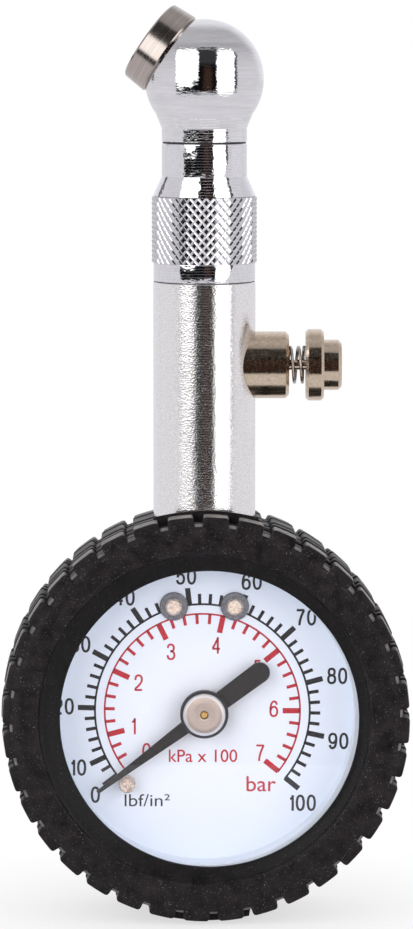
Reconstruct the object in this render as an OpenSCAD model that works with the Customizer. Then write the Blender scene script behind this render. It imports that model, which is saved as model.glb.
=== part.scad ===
// Dial tyre-pressure gauge in a tyre-shaped rubber boot, with a swivelling ball chuck and a side
// bleed button. Millimetres, +Z up the stem, the dial faces -Y. Z = 0 is the boot's lowest point,
// straight below the stem's axis, and the boot's width is centred on Y = 0.

/* [Tyre boot] */
// Diameter over the tread's crown
tread_d = 62; // [60:0.5:70]
// Number of tread blocks round the boot
blocks = 36; // [24:1:44]
// Turn of the tread pattern from the +X axis, degrees
block_phase = 2.2; // [0:0.1:9]
// Depth of the notches in the crown
notch_depth = 0.85; // [0.4:0.05:1.2]
// Width of a notch at its floor
notch_w = 1.3; // [0.8:0.1:1.8]
// Width that the rounded block corners add to a notch at its mouth
corner_w = 0.9; // [0.2:0.1:1.2]
// How much smaller the shoulder rows' radius is than the crown's
shoulder_drop = 0.55; // [0.2:0.05:1]
// Width of each shoulder row, sidewall bevel included
shoulder_w = 3.8; // [3:0.1:4]
// Bevel between a shoulder row and its sidewall
shoulder_bevel = 0.55; // [0.2:0.05:1]
// How far a shoulder notch runs down the sidewall, below the shoulder row's radius
notch_run = 1.4; // [0.9:0.1:2]
// Width of the centre row
centre_w = 4.8; // [3:0.1:5]
// Width of the thin rib on each side of the centre row
rib_w = 1.9; // [1:0.1:2]
// Width of the groove between the centre row and a rib
rib_gap = 1.9; // [1:0.1:2]
// Depth of the grooves that run round the tread
groove_depth = 1.1; // [0.5:0.1:1.6]
// How far the moulding gate pad at the bottom stands above the crown
pad_proud = 0.3; // [0.1:0.05:0.5]
// Length of the gate pad round the tread, degrees
pad_arc = 27; // [10:1:40]
// Crown of the sidewalls
sidewall_crown = 0.25; // [0.1:0.05:0.5]
// Width of the flat land in the middle of each sidewall
sidewall_land = 2; // [1:0.1:2.6]
// Distance from the case out to the crease where the sidewall turns into the lip
crease_out = 0.4; // [0.2:0.05:1]
// How far each lip reaches in over the bezel ring
lip_reach = 2.2; // [1.8:0.1:3]
// Offset of the front opening to the right of the dial's axis
lip_shift = 0.35; // [0:0.05:0.5]
// Thickness of the lip at its edge
lip_t = 0.6; // [0.4:0.05:1.5]
// How far the lip's edge lies behind the sidewall
lip_drop = 1.7; // [0.8:0.1:2.5]

/* [Case and window] */
// Rubber between the tread's crown and the bezel ring
boot_t = 6.7; // [6.2:0.1:7]
// Depth over the bezel ring and the back
case_depth = 19.26; // [19:0.1:22]
// Wall of the case
case_wall = 0.8; // [0.5:0.05:1]
// Thickness of the bezel ring's sheet
bezel_t = 0.3; // [0.2:0.05:0.5]
// Length of the bezel ring's skirt over the case
bezel_skirt = 4; // [2:0.5:6]
// Width of the bezel ring's flange over the window
bezel_flange = 1.7; // [1:0.1:2]
// Thickness of the window
lens_t = 1.2; // [0.8:0.1:2]
// Free height between the dial and the window
dial_depth = 4.6; // [4.4:0.1:6]

/* [Dial] */
// Thickness of the dial plate
dial_t = 0.5; // [0.3:0.1:0.8]
// Half the distance between the two dial screws
dial_screw_x = 4.6; // [4.2:0.1:4.8]
// Height of the dial screws above the dial's centre
dial_screw_up = 16.1; // [15.5:0.1:17]
// Diameter of the dial screws' heads
dial_screw_head_d = 2.6; // [2:0.1:3]
// Height of the dial screws' heads
dial_screw_head_h = 0.8; // [0.5:0.1:1.2]
// Diameter of the dial screws' shanks
dial_screw_d = 1.6; // [1.2:0.1:1.8]
// Diameter of the washers under the dial screws
washer_d = 4.3; // [3.5:0.1:4.6]
// Thickness of the washers
washer_t = 0.45; // [0.3:0.05:0.8]
// Diameter of the pointer's stop pin
stop_d = 2.5; // [1.5:0.1:2.8]
// How far the stop pin stands above the pointer
stop_over = 0.3; // [0.1:0.05:0.6]
// How much nearer to the axis than the needle's tip the stop pin stands
stop_in = 4.2; // [2.5:0.1:6]

/* [Pointer] */
// Direction of the pointer at rest, degrees anticlockwise from the right
rest_angle = 216.8; // [210:0.1:220]
// Sweep of the pointer to the end of the scale, degrees
sweep = 256.5; // [200:0.5:260]
// Gap between the needle's tip and the dial's rim
needle_gap = 2.75; // [2:0.05:5]
// Width of the needle at the hub
needle_root_w = 2.3; // [1.6:0.1:2.6]
// Width of the needle at its tip
needle_tip_w = 0.5; // [0.3:0.1:0.8]
// Distance of the tail's round end from the axis
tail_len = 10.4; // [7:0.1:12]
// Width of the tail at the hub
tail_root_w = 2.75; // [2:0.05:3]
// Diameter of the tail's round end
tail_d = 3.14; // [2.8:0.02:3.4]
// Thickness of the pointer
pointer_t = 0.4; // [0.3:0.05:0.6]
// Height of the pointer above the dial screws
pointer_clear = 0.35; // [0.3:0.05:0.6]
// Diameter of the pointer's boss
boss_d = 7.3; // [6.6:0.1:8]
// Height of the pointer's boss above the pointer
boss_h = 1.2; // [0.8:0.1:1.4]
// Diameter of the cap pressed into the boss
cap_d = 6.4; // [5:0.1:6.4]
// Height of the cap above the boss
cap_h = 0.5; // [0.3:0.1:0.7]

/* [Movement] */
// Module of the gear teeth, for each millimetre of the Bourdon tube's bend radius
module_share = 0.01; // [0.009:0.0005:0.0105]
// Teeth on the pinion
pinion_teeth = 12; // [12:1:14]
// Turns of the pinion for one turn of the sector gear
gear_ratio = 9; // [9:1:9]
// Play between meshing teeth
backlash = 0.07; // [0.04:0.01:0.09]
// Direction of the sector's arbor from the dial's centre, degrees anticlockwise from the right
sector_dir = 213; // [210:1:216]
// Length of the sector gear's tail, for each millimetre of the bend radius
tail_share = 0.25; // [0.225:0.005:0.275]
// Thickness of the sector gear
sector_t = 0.8; // [0.5:0.1:0.9]
// Length of the pinion's teeth
pinion_w = 1.8; // [1.4:0.1:2]
// Diameter of the pinion's arbor
arbor_d = 0.9; // [0.8:0.05:1]
// Diameter of the sector gear's arbor
sector_arbor_d = 1; // [0.8:0.05:1.2]
// Thickness of the movement's plates
plate_t = 0.8; // [0.6:0.1:1]
// Gap between the dial and the movement's front plate
plate_drop = 1; // [0.9:0.1:1.2]
// Free height between the two plates
plate_gap = 5; // [4.8:0.1:5.4]
// Diameter of the pillars between the plates
pillar_d = 1.6; // [1.4:0.1:1.8]
// Length of the link from the sector's tail to the tube's tip, for each millimetre of the bend radius
link_share = 0.475; // [0.425:0.005:0.5]
// Width of the link
link_w = 1.6; // [1.4:0.1:1.8]
// Thickness of the link
link_t = 0.5; // [0.3:0.1:0.6]
// Diameter of the link's two pins
link_pin_d = 0.9; // [0.8:0.05:1]
// Radial play of the link on the tip's pin, the open pivot of the linkage
link_play = 0.22; // [0.2:0.01:0.25]
// Turns of the hairspring
hair_turns = 4.5; // [3:0.5:5]
// Outer radius of the hairspring
hair_r = 3.5; // [3:0.1:3.8]
// Thickness of the hairspring's strip
hair_t = 0.12; // [0.08:0.02:0.16]

/* [Bourdon tube] */
// Gap between the tube's tip and the case
tip_gap = 1.85; // [1.65:0.05:2.05]
// Flattened thickness of the tube
bourdon_t = 1.8; // [1.6:0.1:2]
// Flattened width of the tube
bourdon_w = 7; // [6:0.1:7.4]
// Wall of the tube
bourdon_wall = 0.3; // [0.2:0.05:0.4]
// Straight length at the tube's free end
bourdon_end = 3.5; // [3.2:0.1:4]
// Length of the tip that closes the free end
tip_len = 5; // [4.6:0.1:6]
// Wall of the tip round the tube
tip_wall = 0.25; // [0.2:0.05:0.3]
// Half the angle that the socket block takes up round the case, degrees
socket_half_angle = 21; // [20:0.5:24]
// Diameter of the socket's threaded spigot
spigot_d = 9.8; // [8:0.1:10.4]
// Length of the spigot inside the stem
spigot_len = 9.4; // [6:0.1:12]

/* [Stem] */
// Diameter of the stem tube
tube_d = 15.4; // [15:0.1:15.6]
// Length of the stem tube
tube_len = 40.4; // [38:0.1:60]
// Diameter of the air passage
passage_d = 6; // [5.4:0.1:6.4]
// Edge break at the tube's ends
tube_edge = 0.15; // [0.05:0.05:0.3]

/* [Collar] */
// Diameter of the plain band
band_d = 15.3; // [15:0.1:15.6]
// Height of the plain band
band_h = 2.9; // [2:0.1:5]
// Diameter over the knurl's points
knurl_d = 15.8; // [15.5:0.1:17]
// Height of the knurled grip
knurl_h = 9.9; // [8:0.1:14]
// Diamonds round the knurl
knurl_count = 41; // [30:1:48]
// Diamonds up the knurl
knurl_rows = 5; // [4:1:6]
// Depth of the knurl
knurl_depth = 0.35; // [0.2:0.05:0.5]
// Height of the cone above the knurl
cone_h = 3; // [1.5:0.1:5]
// Diameter of the neck
neck_d = 12.8; // [11.5:0.1:13.4]
// Height of the collar's neck
neck_h = 5; // [4:0.1:8]
// Diameter of the collar's threaded end
thread_d = 10; // [9.6:0.1:10.4]

/* [Ball chuck] */
// Height of the chuck's neck below the ball's centre
ball_up = 9.6; // [8.6:0.1:12]
// Diameter of the ball
ball_d = 17.9; // [17:0.1:20]
// Height of the flare in which the neck widens to the ball
flare_h = 3.4; // [2.5:0.1:4]
// Rise of the nozzle's axis above level, degrees
nozzle_rise = 35; // [0:1:60]
// Turn of the nozzle away from the -X axis, degrees
head_turn = 9; // [-180:1:180]
// Distance of the nozzle's mouth from the ball's centre
nozzle_reach = 10.2; // [10:0.1:13]
// Diameter of the nozzle ring next to the ball
ring_d = 13.4; // [12.6:0.1:14]
// Diameter of the nozzle ring at its mouth
ring_mouth_d = 12.9; // [11:0.1:13.2]
// Height of the nozzle ring
ring_h = 3.9; // [3:0.1:4]
// Diameter of the bore that takes the tyre's valve
valve_bore_d = 8; // [7.8:0.1:8.4]
// Diameter of the socket in the ball
pocket_d = 10.5; // [10:0.1:10.8]
// Depth of the socket's floor, above the ball's centre
pocket_floor = 1; // [0.5:0.1:1.5]
// Diameter of the depressor pin
depressor_d = 1.5; // [1.2:0.1:1.8]
// Diameter of the swivel spigot
swivel_d = 6.8; // [6:0.1:7]
// Length of the swivel spigot
swivel_len = 14.6; // [13.5:0.1:16]

/* [Bleed valve] */
// Depth of the bleed valve below the stem tube's top
bleed_down = 12.65; // [12.4:0.05:16]
// Diameter of the housing
housing_d = 10.1; // [9:0.1:11]
// Distance of the housing's end from the stem's axis
housing_x = 12.75; // [12:0.1:18]
// Travel of the button
button_travel = 2; // [1.5:0.1:3]
// Gap between the housing and the button at the end of its travel
button_spare = 0.55; // [0.3:0.05:1.5]
// Diameter of the button's flange
flange_d = 10.8; // [9:0.1:12]
// Thickness of the button's flange
flange_t = 2.7; // [1.5:0.1:4]
// Diameter of the button's cap
button_cap_d = 7.6; // [5:0.1:8.6]
// Length of the button's cap
button_cap_l = 2.7; // [1.5:0.1:5]
// Outer diameter of the bleed spring
bleed_spring_d = 5.8; // [5:0.1:6]
// Wire of the bleed spring
bleed_wire = 0.46; // [0.36:0.02:0.5]
// Turns of the bleed spring
bleed_turns = 3.5; // [2.5:0.5:4]
// Depth of the spring's seat in the housing
spring_seat = 2.6; // [2:0.1:3]
// Diameter of the bleed valve's stem
bleed_stem_d = 1.6; // [1.2:0.1:1.8]
// Diameter of the bleed valve's poppet
bleed_poppet_d = 3.2; // [2.8:0.1:3.4]

/* [Check valve] */
// Diameter of the check valve's body
check_d = 10; // [9.6:0.1:10.4]
// Diameter of the check valve's poppet
check_poppet_d = 3.8; // [3.4:0.1:4.4]
// Travel of the check valve's poppet
check_travel = 0.8; // [0.6:0.1:1]
// Wire of the check valve's spring
check_wire = 0.2; // [0.16:0.02:0.24]

/* [Hidden] */
$fn = 64;

// Radial play of running fits, and of seats within one body
run = 0.05;
seat = 0.05;
// Overlap that makes cuts clean
cut = 0.1;

// Heights up the stem
tread_r = tread_d / 2;
dial_z = tread_r + pad_proud;
case_r = tread_r - boot_t;
foot_gap = 0.3;
tube_z0 = dial_z + case_r + foot_gap;
tube_z1 = tube_z0 + tube_len;
knurl_z0 = tube_z1 + band_h;
knurl_z1 = knurl_z0 + knurl_h;
cone_z1 = knurl_z1 + cone_h;
swivel_z = cone_z1 + neck_h;
swivel_gap = 0.1;
ball_z = swivel_z + ball_up;
bleed_z = tube_z1 - bleed_down;

// Depths from the gauge's mid-plane, positive towards the front of the dial
case_half = case_depth / 2;
boot_half = case_half + seat + lip_t + lip_drop;
case_back = -case_half;
case_floor = case_back + case_wall;
lens_back = case_half - bezel_t - seat - lens_t;
dial_front = lens_back - dial_depth;
dial_back = dial_front - dial_t;
pointer_low = dial_front + washer_t + dial_screw_head_h + pointer_clear;
pointer_top = pointer_low + pointer_t;
front_plate_top = dial_back - plate_drop;
front_plate_low = front_plate_top - plate_t;
back_plate_top = front_plate_low - plate_gap;
back_plate_low = back_plate_top - plate_t;
layer_gap = 0.2;
pinion_top = front_plate_low - 1.5;
sector_low = pinion_top - pinion_w / 2 - sector_t / 2;
link_top = sector_low - layer_gap;
lug_t = 0.6;
lug_top = link_top - link_t - layer_gap;
bourdon_mid = lug_top - lug_t / 2;

// Radii inside the case
case_shell_r = case_r - bezel_t - seat;
case_in_r = case_shell_r - case_wall;
dial_r = case_in_r - 0.2;
block_r = case_in_r - seat;
lip_r = case_r - lip_reach;
crease_r = case_r + crease_out;
needle_len = dial_r - needle_gap;
stop_r = needle_len - stop_in;
tip_play = 0.15;
tip_half = bourdon_t / 2 + tip_play + tip_wall;
bourdon_r = case_in_r - tip_gap - tip_half;

// Gear train and linkage, in proportion to the Bourdon tube's bend
gear_module = module_share * bourdon_r;
sector_tail = tail_share * bourdon_r;
link_len = link_share * bourdon_r;
pinion_r = gear_module * pinion_teeth / 2;
sector_teeth = pinion_teeth * gear_ratio;
sector_r = gear_module * sector_teeth / 2;
sector_at = (pinion_r + sector_r) * [cos(sector_dir), sin(sector_dir)];
mesh_dir = sector_dir - 180;
sector_swing = sweep / gear_ratio;
tail_rest = 180 - sector_swing / 2;
tail_at = sector_at + sector_tail * [cos(tail_rest), sin(tail_rest)];
tip_pin_at = tail_at + [0, link_len];
tip_travel = 2 * sector_tail * sin(sector_swing / 2);
pressure_angle = 25;
addendum = 0.8;
dedendum = 1.05;

// Places of the movement's fasteners, measured from the dial's centre
pillar_places = [[5.2, -3], [-5.6, 5.6], sector_at + [3.1, -4.4]];
mount_places = [[3.6, 7.7], [-3.6, 7.7]];
mount_screw_r = 0.7;
pillar_screw_r = 0.45;
// Metal round the plates' screw holes, the pinion's hole and the sector arbor's hole
plate_boss = 1.7;
pinion_boss = 2.6;
sector_boss = 2.2;

// ---------------------------------------------------------------- frames and common shapes

// The dial's frame: x to the right, y up, z out of the dial
module at_dial() { translate([0, 0, dial_z]) rotate([90, 0, 0]) children(); }

// The bleed valve's frame: z out of the stem along +X
module at_bleed() { translate([0, 0, bleed_z]) rotate([0, 90, 0]) children(); }

// The nozzle's frame: z out of the nozzle's mouth, from the ball's centre
module at_nozzle() {
    translate([0, 0, ball_z]) rotate([0, 0, -head_turn]) rotate([0, nozzle_rise - 90, 0]) children();
}

// A round bar from z0 to z1 with its two edges broken by e0 and e1
module bar(r, z0, z1, e0 = 0, e1 = 0) {
    rotate_extrude() polygon([[0, z0], [r - e0, z0], [r, z0 + e0], [r, z1 - e1], [r - e1, z1], [0, z1]]);
}

// A plain ring from z0 to z1
module ring(r_out, r_in, z0, z1) {
    rotate_extrude() translate([r_in, z0]) square([r_out - r_in, z1 - z0]);
}

// An O-ring of section radius r on mean radius R, centred on z
module o_ring(R, r, z) { rotate_extrude() translate([R, z]) circle(r, $fn = 32); }

// A coil spring of n turns round z, from z0 to z1, as one swept tube. Its two ends run straight
// along z for one wire diameter, so that they stand square on what they meet.
coil_rings = 8;
coil_sides = 6;
function coil_path(R, wire, n, z0, z1) = let (steps = round(n * coil_rings)) concat(
    [[R, 0, z0]],
    [for (i = [0 : steps]) let (t = i / steps)
        [R * cos(360 * n * t), R * sin(360 * n * t), z0 + wire + (z1 - z0 - 2 * wire) * t]],
    [[R * cos(360 * n), R * sin(360 * n), z1]]);
function unit(v) = v / norm(v);
function heading(p, i) = let (last = len(p) - 1)
    i == 0 || i == last ? [0, 0, 1]
    : unit(unit(p[min(i + 1, last)] - p[i]) + unit(p[i] - p[max(i - 1, 0)]));
function section(p, d, r) = let (out = unit([p[0], p[1], 0]), side = unit(cross(d, out)))
    [for (k = [0 : coil_sides - 1]) let (a = 360 * k / coil_sides)
        p + r * (cos(a) * cross(side, d) + sin(a) * side)];
module coil(R, wire, n, z0, z1) {
    path = coil_path(R, wire, n, z0, z1);
    last = len(path) - 1;
    points = [for (i = [0 : last]) each section(path[i], heading(path, i), wire / 2)];
    skin = [for (i = [0 : last - 1], k = [0 : coil_sides - 1])
        let (a = i * coil_sides + k, b = i * coil_sides + (k + 1) % coil_sides)
        each [[a, a + coil_sides, b], [b, a + coil_sides, b + coil_sides]]];
    caps = [for (k = [1 : coil_sides - 2])
        each [[0, k, k + 1], [last * coil_sides, last * coil_sides + k + 1, last * coil_sides + k]]];
    polyhedron(points, concat(skin, caps));
}
// Least gap between a coil's turns, measured on the points of its path
function coil_gap(p, wire) = min([for (i = [0 : len(p) - 1], j = [i + 6 : 1 : len(p) - 1])
    norm(p[i] - p[j])]) - wire;

// The involute flank of a gear tooth: the angle by which it has moved in at radius r
function involute(rb, r) = r <= rb ? 0 : let (t = sqrt(r * r / (rb * rb) - 1)) t * 180 / PI - atan(t);
// One tooth of a gear with pitch radius R, centred on angle a, from root to root
function tooth(R, a) = let (
        rb = R * cos(pressure_angle), root = R - dedendum * gear_module,
        top = R + addendum * gear_module,
        half = (PI * gear_module / 2 - backlash) / 2 / R * 180 / PI + involute(rb, R),
        radii = [root, max(root, rb), (max(root, rb) + top) / 2, top])
    concat([for (r = radii) let (b = a - half + involute(rb, r)) r * [cos(b), sin(b)]],
        [for (i = [3 : -1 : 0]) let (r = radii[i], b = a + half - involute(rb, r))
            r * [cos(b), sin(b)]]);
function arc(r, a0, a1, n) = [for (i = [0 : n]) let (a = a0 + (a1 - a0) * i / n) r * [cos(a), sin(a)]];

// ---------------------------------------------------------------- tyre boot

boot_bore_r = case_r + seat;
shoulder_r = tread_r - shoulder_drop;
shoulder_in = boot_half - shoulder_w;
rib_in = centre_w / 2 + rib_gap;
rib_out = rib_in + rib_w;
groove_r = tread_r - groove_depth;
face_r = shoulder_r - shoulder_bevel;
land_r = (face_r + crease_r) / 2;
face_steps = 4;
pad_dir = 269.5;

// A stretch of sidewall that falls away by the crown from radius r0 to r1, in a quarter wave
function sidewall(r0, r1, rising) = [for (i = [0 : face_steps]) let (t = i / face_steps)
    [r0 + (r1 - r0) * t, boot_half - sidewall_crown * (rising ? 1 - sin(90 * t) : 1 - cos(90 * t))]];

// Half of the boot's section, from the mid-plane to the front: tread, sidewall, lip and seat
function boot_half_section(open_r) = concat(
    [[groove_r, 0], [groove_r, shoulder_in], [shoulder_r, shoulder_in],
        [shoulder_r, boot_half - sidewall_crown - shoulder_bevel]],
    sidewall(face_r, land_r + sidewall_land / 2, true),
    sidewall(land_r - sidewall_land / 2, crease_r, false),
    [[open_r, boot_half - lip_drop], [open_r, case_half + seat]],
    [[boot_bore_r, case_half + seat], [boot_bore_r, 0]]);

// The front opening is a little off the axis: the front lip starts smaller, by the offset, and the
// opening is then cut to its full size.
module boot_body() {
    rotate_extrude() polygon(boot_half_section(lip_r - lip_shift));
    mirror([0, 0, 1]) rotate_extrude() polygon(boot_half_section(lip_r));
}

// Depth to which the tread's rows are sunk in the boot's body
row_root = 1;
module tread_row(w0, w1) { ring(tread_r, groove_r - row_root, w0, w1); }

// A notch's section across its length, x along the tread's radius: steep walls with a little
// draft, which then open out to the rounded corners of the blocks
notch_draft = 0.1;
notch_over = 2;
module notch_section(floor_r) {
    foot = notch_w / 2;
    mouth = (notch_w + corner_w) / 2;
    bend_r = floor_r + (tread_r - floor_r) * 0.55;
    top_r = tread_r + notch_over;
    polygon([[floor_r, -foot], [bend_r, -foot - notch_draft], [tread_r + cut, -mouth], [top_r, -mouth],
        [top_r, mouth], [tread_r + cut, mouth], [bend_r, foot + notch_draft], [floor_r, foot]]);
}

// Across a shoulder row the notch's floor slopes down towards the sidewall
shoulder_step = 0.15;
notch_lead = 0.6;
module shoulder_notch() {
    floor_in = tread_r - notch_depth - shoulder_step;
    slope = atan((floor_in - (shoulder_r - notch_run)) / shoulder_w);
    translate([floor_in, 0, shoulder_in]) rotate([0, -slope, 0]) translate([-floor_in, 0, -notch_lead])
        linear_extrude(shoulder_w + notch_over) notch_section(floor_in);
}

module tyre_boot() {
    color([0.16, 0.155, 0.16]) at_dial() difference() {
        union() {
            boot_body();
            difference() {
                union() {
                    tread_row(-centre_w / 2, centre_w / 2);
                    for (side = [0, 1]) mirror([0, 0, side]) tread_row(rib_in, rib_out);
                }
                for (i = [0 : blocks - 1]) rotate([0, 0, block_phase + 360 / blocks * i])
                    translate([0, 0, -rib_out - cut]) linear_extrude(2 * (rib_out + cut))
                        notch_section(tread_r - notch_depth);
            }
            rotate([0, 0, pad_dir - pad_arc / 2]) rotate_extrude(angle = pad_arc)
                translate([groove_r - row_root, -shoulder_in - cut])
                    square([tread_r + pad_proud - groove_r + row_root, 2 * (shoulder_in + cut)]);
        }
        for (side = [0, 1], i = [0 : blocks - 1])
            mirror([0, 0, side]) rotate([0, 0, block_phase + 360 / blocks * i]) shoulder_notch();
        translate([lip_shift, 0, 0]) cylinder(r = lip_r, h = boot_half + cut);
        rotate([-90, 0, 0]) cylinder(r = tube_d / 2 + seat, h = tread_r + 1);
    }
}

// ---------------------------------------------------------------- case and window

case_screw_x = 4.6;
case_screw_up = 14.5;
case_screw_r = 0.9;
case_screw_grip = 4;
socket_hole_r = spigot_d / 2 + layer_gap;

module gauge_case() {
    color("dimgray") at_dial() difference() {
        bar(case_shell_r, case_back, lens_back, case_wall / 2, 0);
        translate([0, 0, case_floor]) cylinder(r = case_in_r, h = case_depth);
        rotate([-90, 0, 0]) cylinder(r = socket_hole_r, h = case_r + 1);
        for (x = [-1, 1]) translate([x * case_screw_x, case_screw_up, case_back - cut])
            cylinder(r = case_screw_r + seat, h = case_wall + 2 * cut);
    }
}

module bezel_ring() {
    color("black") at_dial() union() {
        ring(case_r, case_r - bezel_t, case_half - bezel_skirt, case_half);
        ring(case_r, case_r - bezel_flange, case_half - bezel_t, case_half);
    }
}

module lens() {
    color([0.85, 0.92, 0.97, 0.25]) at_dial()
        bar(case_shell_r - seat, lens_back, lens_back + lens_t, 0, 0.2);
}

module case_screws() {
    head_r = 1.7;
    head_h = 0.9;
    slot_l = 2;
    slot_w = 0.4;
    slot_depth = 0.5;
    color("silver") at_dial() for (x = [-1, 1]) translate([x * case_screw_x, case_screw_up, case_back])
        difference() {
            union() {
                bar(head_r, -head_h, 0, 0.3, 0);
                bar(case_screw_r, -cut, case_wall + case_screw_grip, 0, 0.2);
            }
            for (a = [0, 90]) rotate([0, 0, a]) translate([-slot_l / 2, -slot_w / 2, -head_h - cut])
                cube([slot_l, slot_w, slot_depth + cut]);
        }
}

// ---------------------------------------------------------------- dial

stop_dir = rest_angle + asin((stop_d / 2 + seat
    + (needle_root_w + (needle_tip_w - needle_root_w) * stop_r / needle_len) / 2) / stop_r);
stop_shank_r = 0.5;
dial_hole_r = 1.2;

module dial_plate() {
    color("white") at_dial() difference() {
        bar(dial_r, dial_back, dial_front, 0, 0);
        translate([0, 0, dial_back - cut]) {
            cylinder(r = dial_hole_r, h = dial_t + 2 * cut);
            for (x = [-1, 1]) translate([x * dial_screw_x, dial_screw_up, 0])
                cylinder(r = dial_screw_d / 2 + seat, h = dial_t + 2 * cut);
            rotate([0, 0, stop_dir]) translate([stop_r, 0, 0])
                cylinder(r = stop_shank_r, h = dial_t + 2 * cut);
        }
    }
}

module dial_washers() {
    color("slategray") at_dial() for (x = [-1, 1])
        translate([x * dial_screw_x, dial_screw_up, dial_front]) difference() {
            bar(washer_d / 2, 0, washer_t, 0, 0.12);
            translate([0, 0, -cut]) cylinder(r = dial_screw_d / 2 + seat, h = washer_t + 2 * cut);
        }
}

dial_screw_grip = 4;
module dial_screws() {
    color("silver") at_dial() for (x = [-1, 1])
        translate([x * dial_screw_x, dial_screw_up, dial_front + washer_t]) union() {
            bar(dial_screw_head_d / 2, 0, dial_screw_head_h, 0, 0.3);
            bar(dial_screw_d / 2, -washer_t - dial_t - dial_screw_grip, cut, 0.15, 0);
        }
}

module stop_pin() {
    color("silver") at_dial() rotate([0, 0, stop_dir]) translate([stop_r, 0, dial_front]) union() {
        bar(stop_d / 2, 0, pointer_top + stop_over - dial_front, 0, 0.25);
        bar(stop_shank_r, -dial_t - 0.3, cut, 0.1, 0);
    }
}

// ---------------------------------------------------------------- pointer

boss_top = pointer_top + boss_h;
cap_seat = 0.8;
cap_bore = 2;

module pointer() {
    color([0.2, 0.2, 0.22]) at_dial() rotate([0, 0, rest_angle]) difference() {
        translate([0, 0, pointer_low]) linear_extrude(pointer_t) union() {
            polygon([[0, -needle_root_w / 2], [needle_len, -needle_tip_w / 2],
                [needle_len, needle_tip_w / 2], [0, needle_root_w / 2]]);
            polygon([[0, -tail_root_w / 2], [0, tail_root_w / 2], [-tail_len, tail_d / 2 - 0.01],
                [-tail_len, -tail_d / 2 + 0.01]]);
            translate([-tail_len, 0]) circle(tail_d / 2);
            circle(boss_d / 2 - 0.3);
        }
        translate([0, 0, pointer_low - cut]) cylinder(r = arbor_d / 2, h = pointer_t + 2 * cut);
    }
}

module pointer_boss() {
    color([0.12, 0.12, 0.13]) at_dial() difference() {
        bar(boss_d / 2, pointer_top, boss_top, 0, 0.25);
        translate([0, 0, pointer_top - cut]) cylinder(r = arbor_d / 2, h = boss_h + 2 * cut);
        translate([0, 0, boss_top - cap_seat]) cylinder(r = cap_d / 2 + 0.02, h = cap_seat + cut);
    }
}

// The cap is dished in the middle, where the arbor's end shows
module pointer_cap() {
    color("silver") at_dial() difference() {
        bar(cap_d / 2, boss_top - cap_seat, boss_top + cap_h, 0, 0.5);
        translate([0, 0, boss_top + cap_h - 0.12]) cylinder(r1 = 0.9, r2 = 1.1, h = 0.12 + cut);
        translate([0, 0, boss_top - cap_seat - cut]) cylinder(r = arbor_d / 2, h = cap_bore);
    }
}

// Below the pinion the arbor has a spacer, and above it the hairspring's collet
spacer_r = 0.75;
collet_r = 0.95;
collet_h = 0.9;
module pinion_arbor() {
    color("goldenrod") at_dial() union() {
        bar(arbor_d / 2, back_plate_low, boss_top + cap_h - 0.05, 0.1, 0.1);
        translate([0, 0, pinion_top - pinion_w]) linear_extrude(pinion_w)
            polygon([for (i = [0 : pinion_teeth - 1])
                each tooth(pinion_r, sector_dir + 360 / pinion_teeth * (i + 0.5))]);
        bar(spacer_r, back_plate_top + layer_gap, pinion_top - pinion_w - layer_gap, 0, 0);
        bar(collet_r, hair_mid - collet_h / 2, hair_mid + collet_h / 2, 0.1, 0.1);
    }
}

// ---------------------------------------------------------------- movement

first_tooth = -10;
last_tooth = 1;
rim_depth = 1.1;
arm_w = 1.2;
arm_lap = 0.4;
arm_in = 2.5;
sector_hub_r = 1.9;
tail_w = 1.4;
pin_boss_r = 0.8;
tooth_pitch = 360 / sector_teeth;

module sector_gear() {
    rim_a0 = mesh_dir + (first_tooth - 0.5) * tooth_pitch;
    rim_a1 = mesh_dir + (last_tooth + 0.5) * tooth_pitch;
    rim_in = sector_r - dedendum * gear_module - rim_depth;
    color("goldenrod") at_dial() translate([sector_at[0], sector_at[1], sector_low]) union() {
        difference() {
            linear_extrude(sector_t) union() {
                polygon(concat([for (i = [first_tooth : last_tooth])
                        each tooth(sector_r, mesh_dir + i * tooth_pitch)],
                    arc(rim_in, rim_a1, rim_a0, 8)));
                for (a = [rim_a0 + arm_in, rim_a1 - arm_in]) rotate(a) translate([0, -arm_w / 2])
                    square([rim_in + arm_lap, arm_w]);
                circle(sector_hub_r);
                rotate(tail_rest) translate([0, -tail_w / 2]) square([sector_tail, tail_w]);
                rotate(tail_rest) translate([sector_tail, 0]) circle(pin_boss_r);
            }
            translate([0, 0, -cut]) cylinder(r = sector_arbor_d / 2, h = sector_t + 2 * cut);
        }
        rotate([0, 0, tail_rest]) translate([sector_tail, 0, 0])
            bar(link_pin_d / 2, -layer_gap - link_t - 0.15, cut, 0.1, 0);
    }
}

module sector_arbor() {
    color("darkgoldenrod") at_dial() translate([sector_at[0], sector_at[1], 0]) union() {
        bar(sector_arbor_d / 2, back_plate_low, front_plate_top, 0.1, 0.1);
        bar(sector_arbor_d / 2 + arm_lap, back_plate_top + layer_gap, sector_low, 0, 0);
        bar(sector_arbor_d / 2 + arm_lap, sector_low + sector_t, front_plate_low - layer_gap, 0, 0);
    }
}

// The outline that both plates share, round the arbors and the pillars
module plate_outline() {
    hull() {
        circle(pinion_boss);
        for (p = pillar_places) translate(p) circle(plate_boss, $fn = 32);
        translate(sector_at) circle(sector_boss);
    }
}

module plate_holes(z0, h) {
    translate([0, 0, z0 - cut]) {
        cylinder(r = arbor_d / 2 + run, h = h + 2 * cut);
        translate(sector_at) cylinder(r = sector_arbor_d / 2 + run, h = h + 2 * cut);
    }
}

stud_dir = 300;
stud_r = 0.35;
stud_out = 0.5;
hair_mid = pinion_top + 0.85;
hair_h = 0.4;

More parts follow.
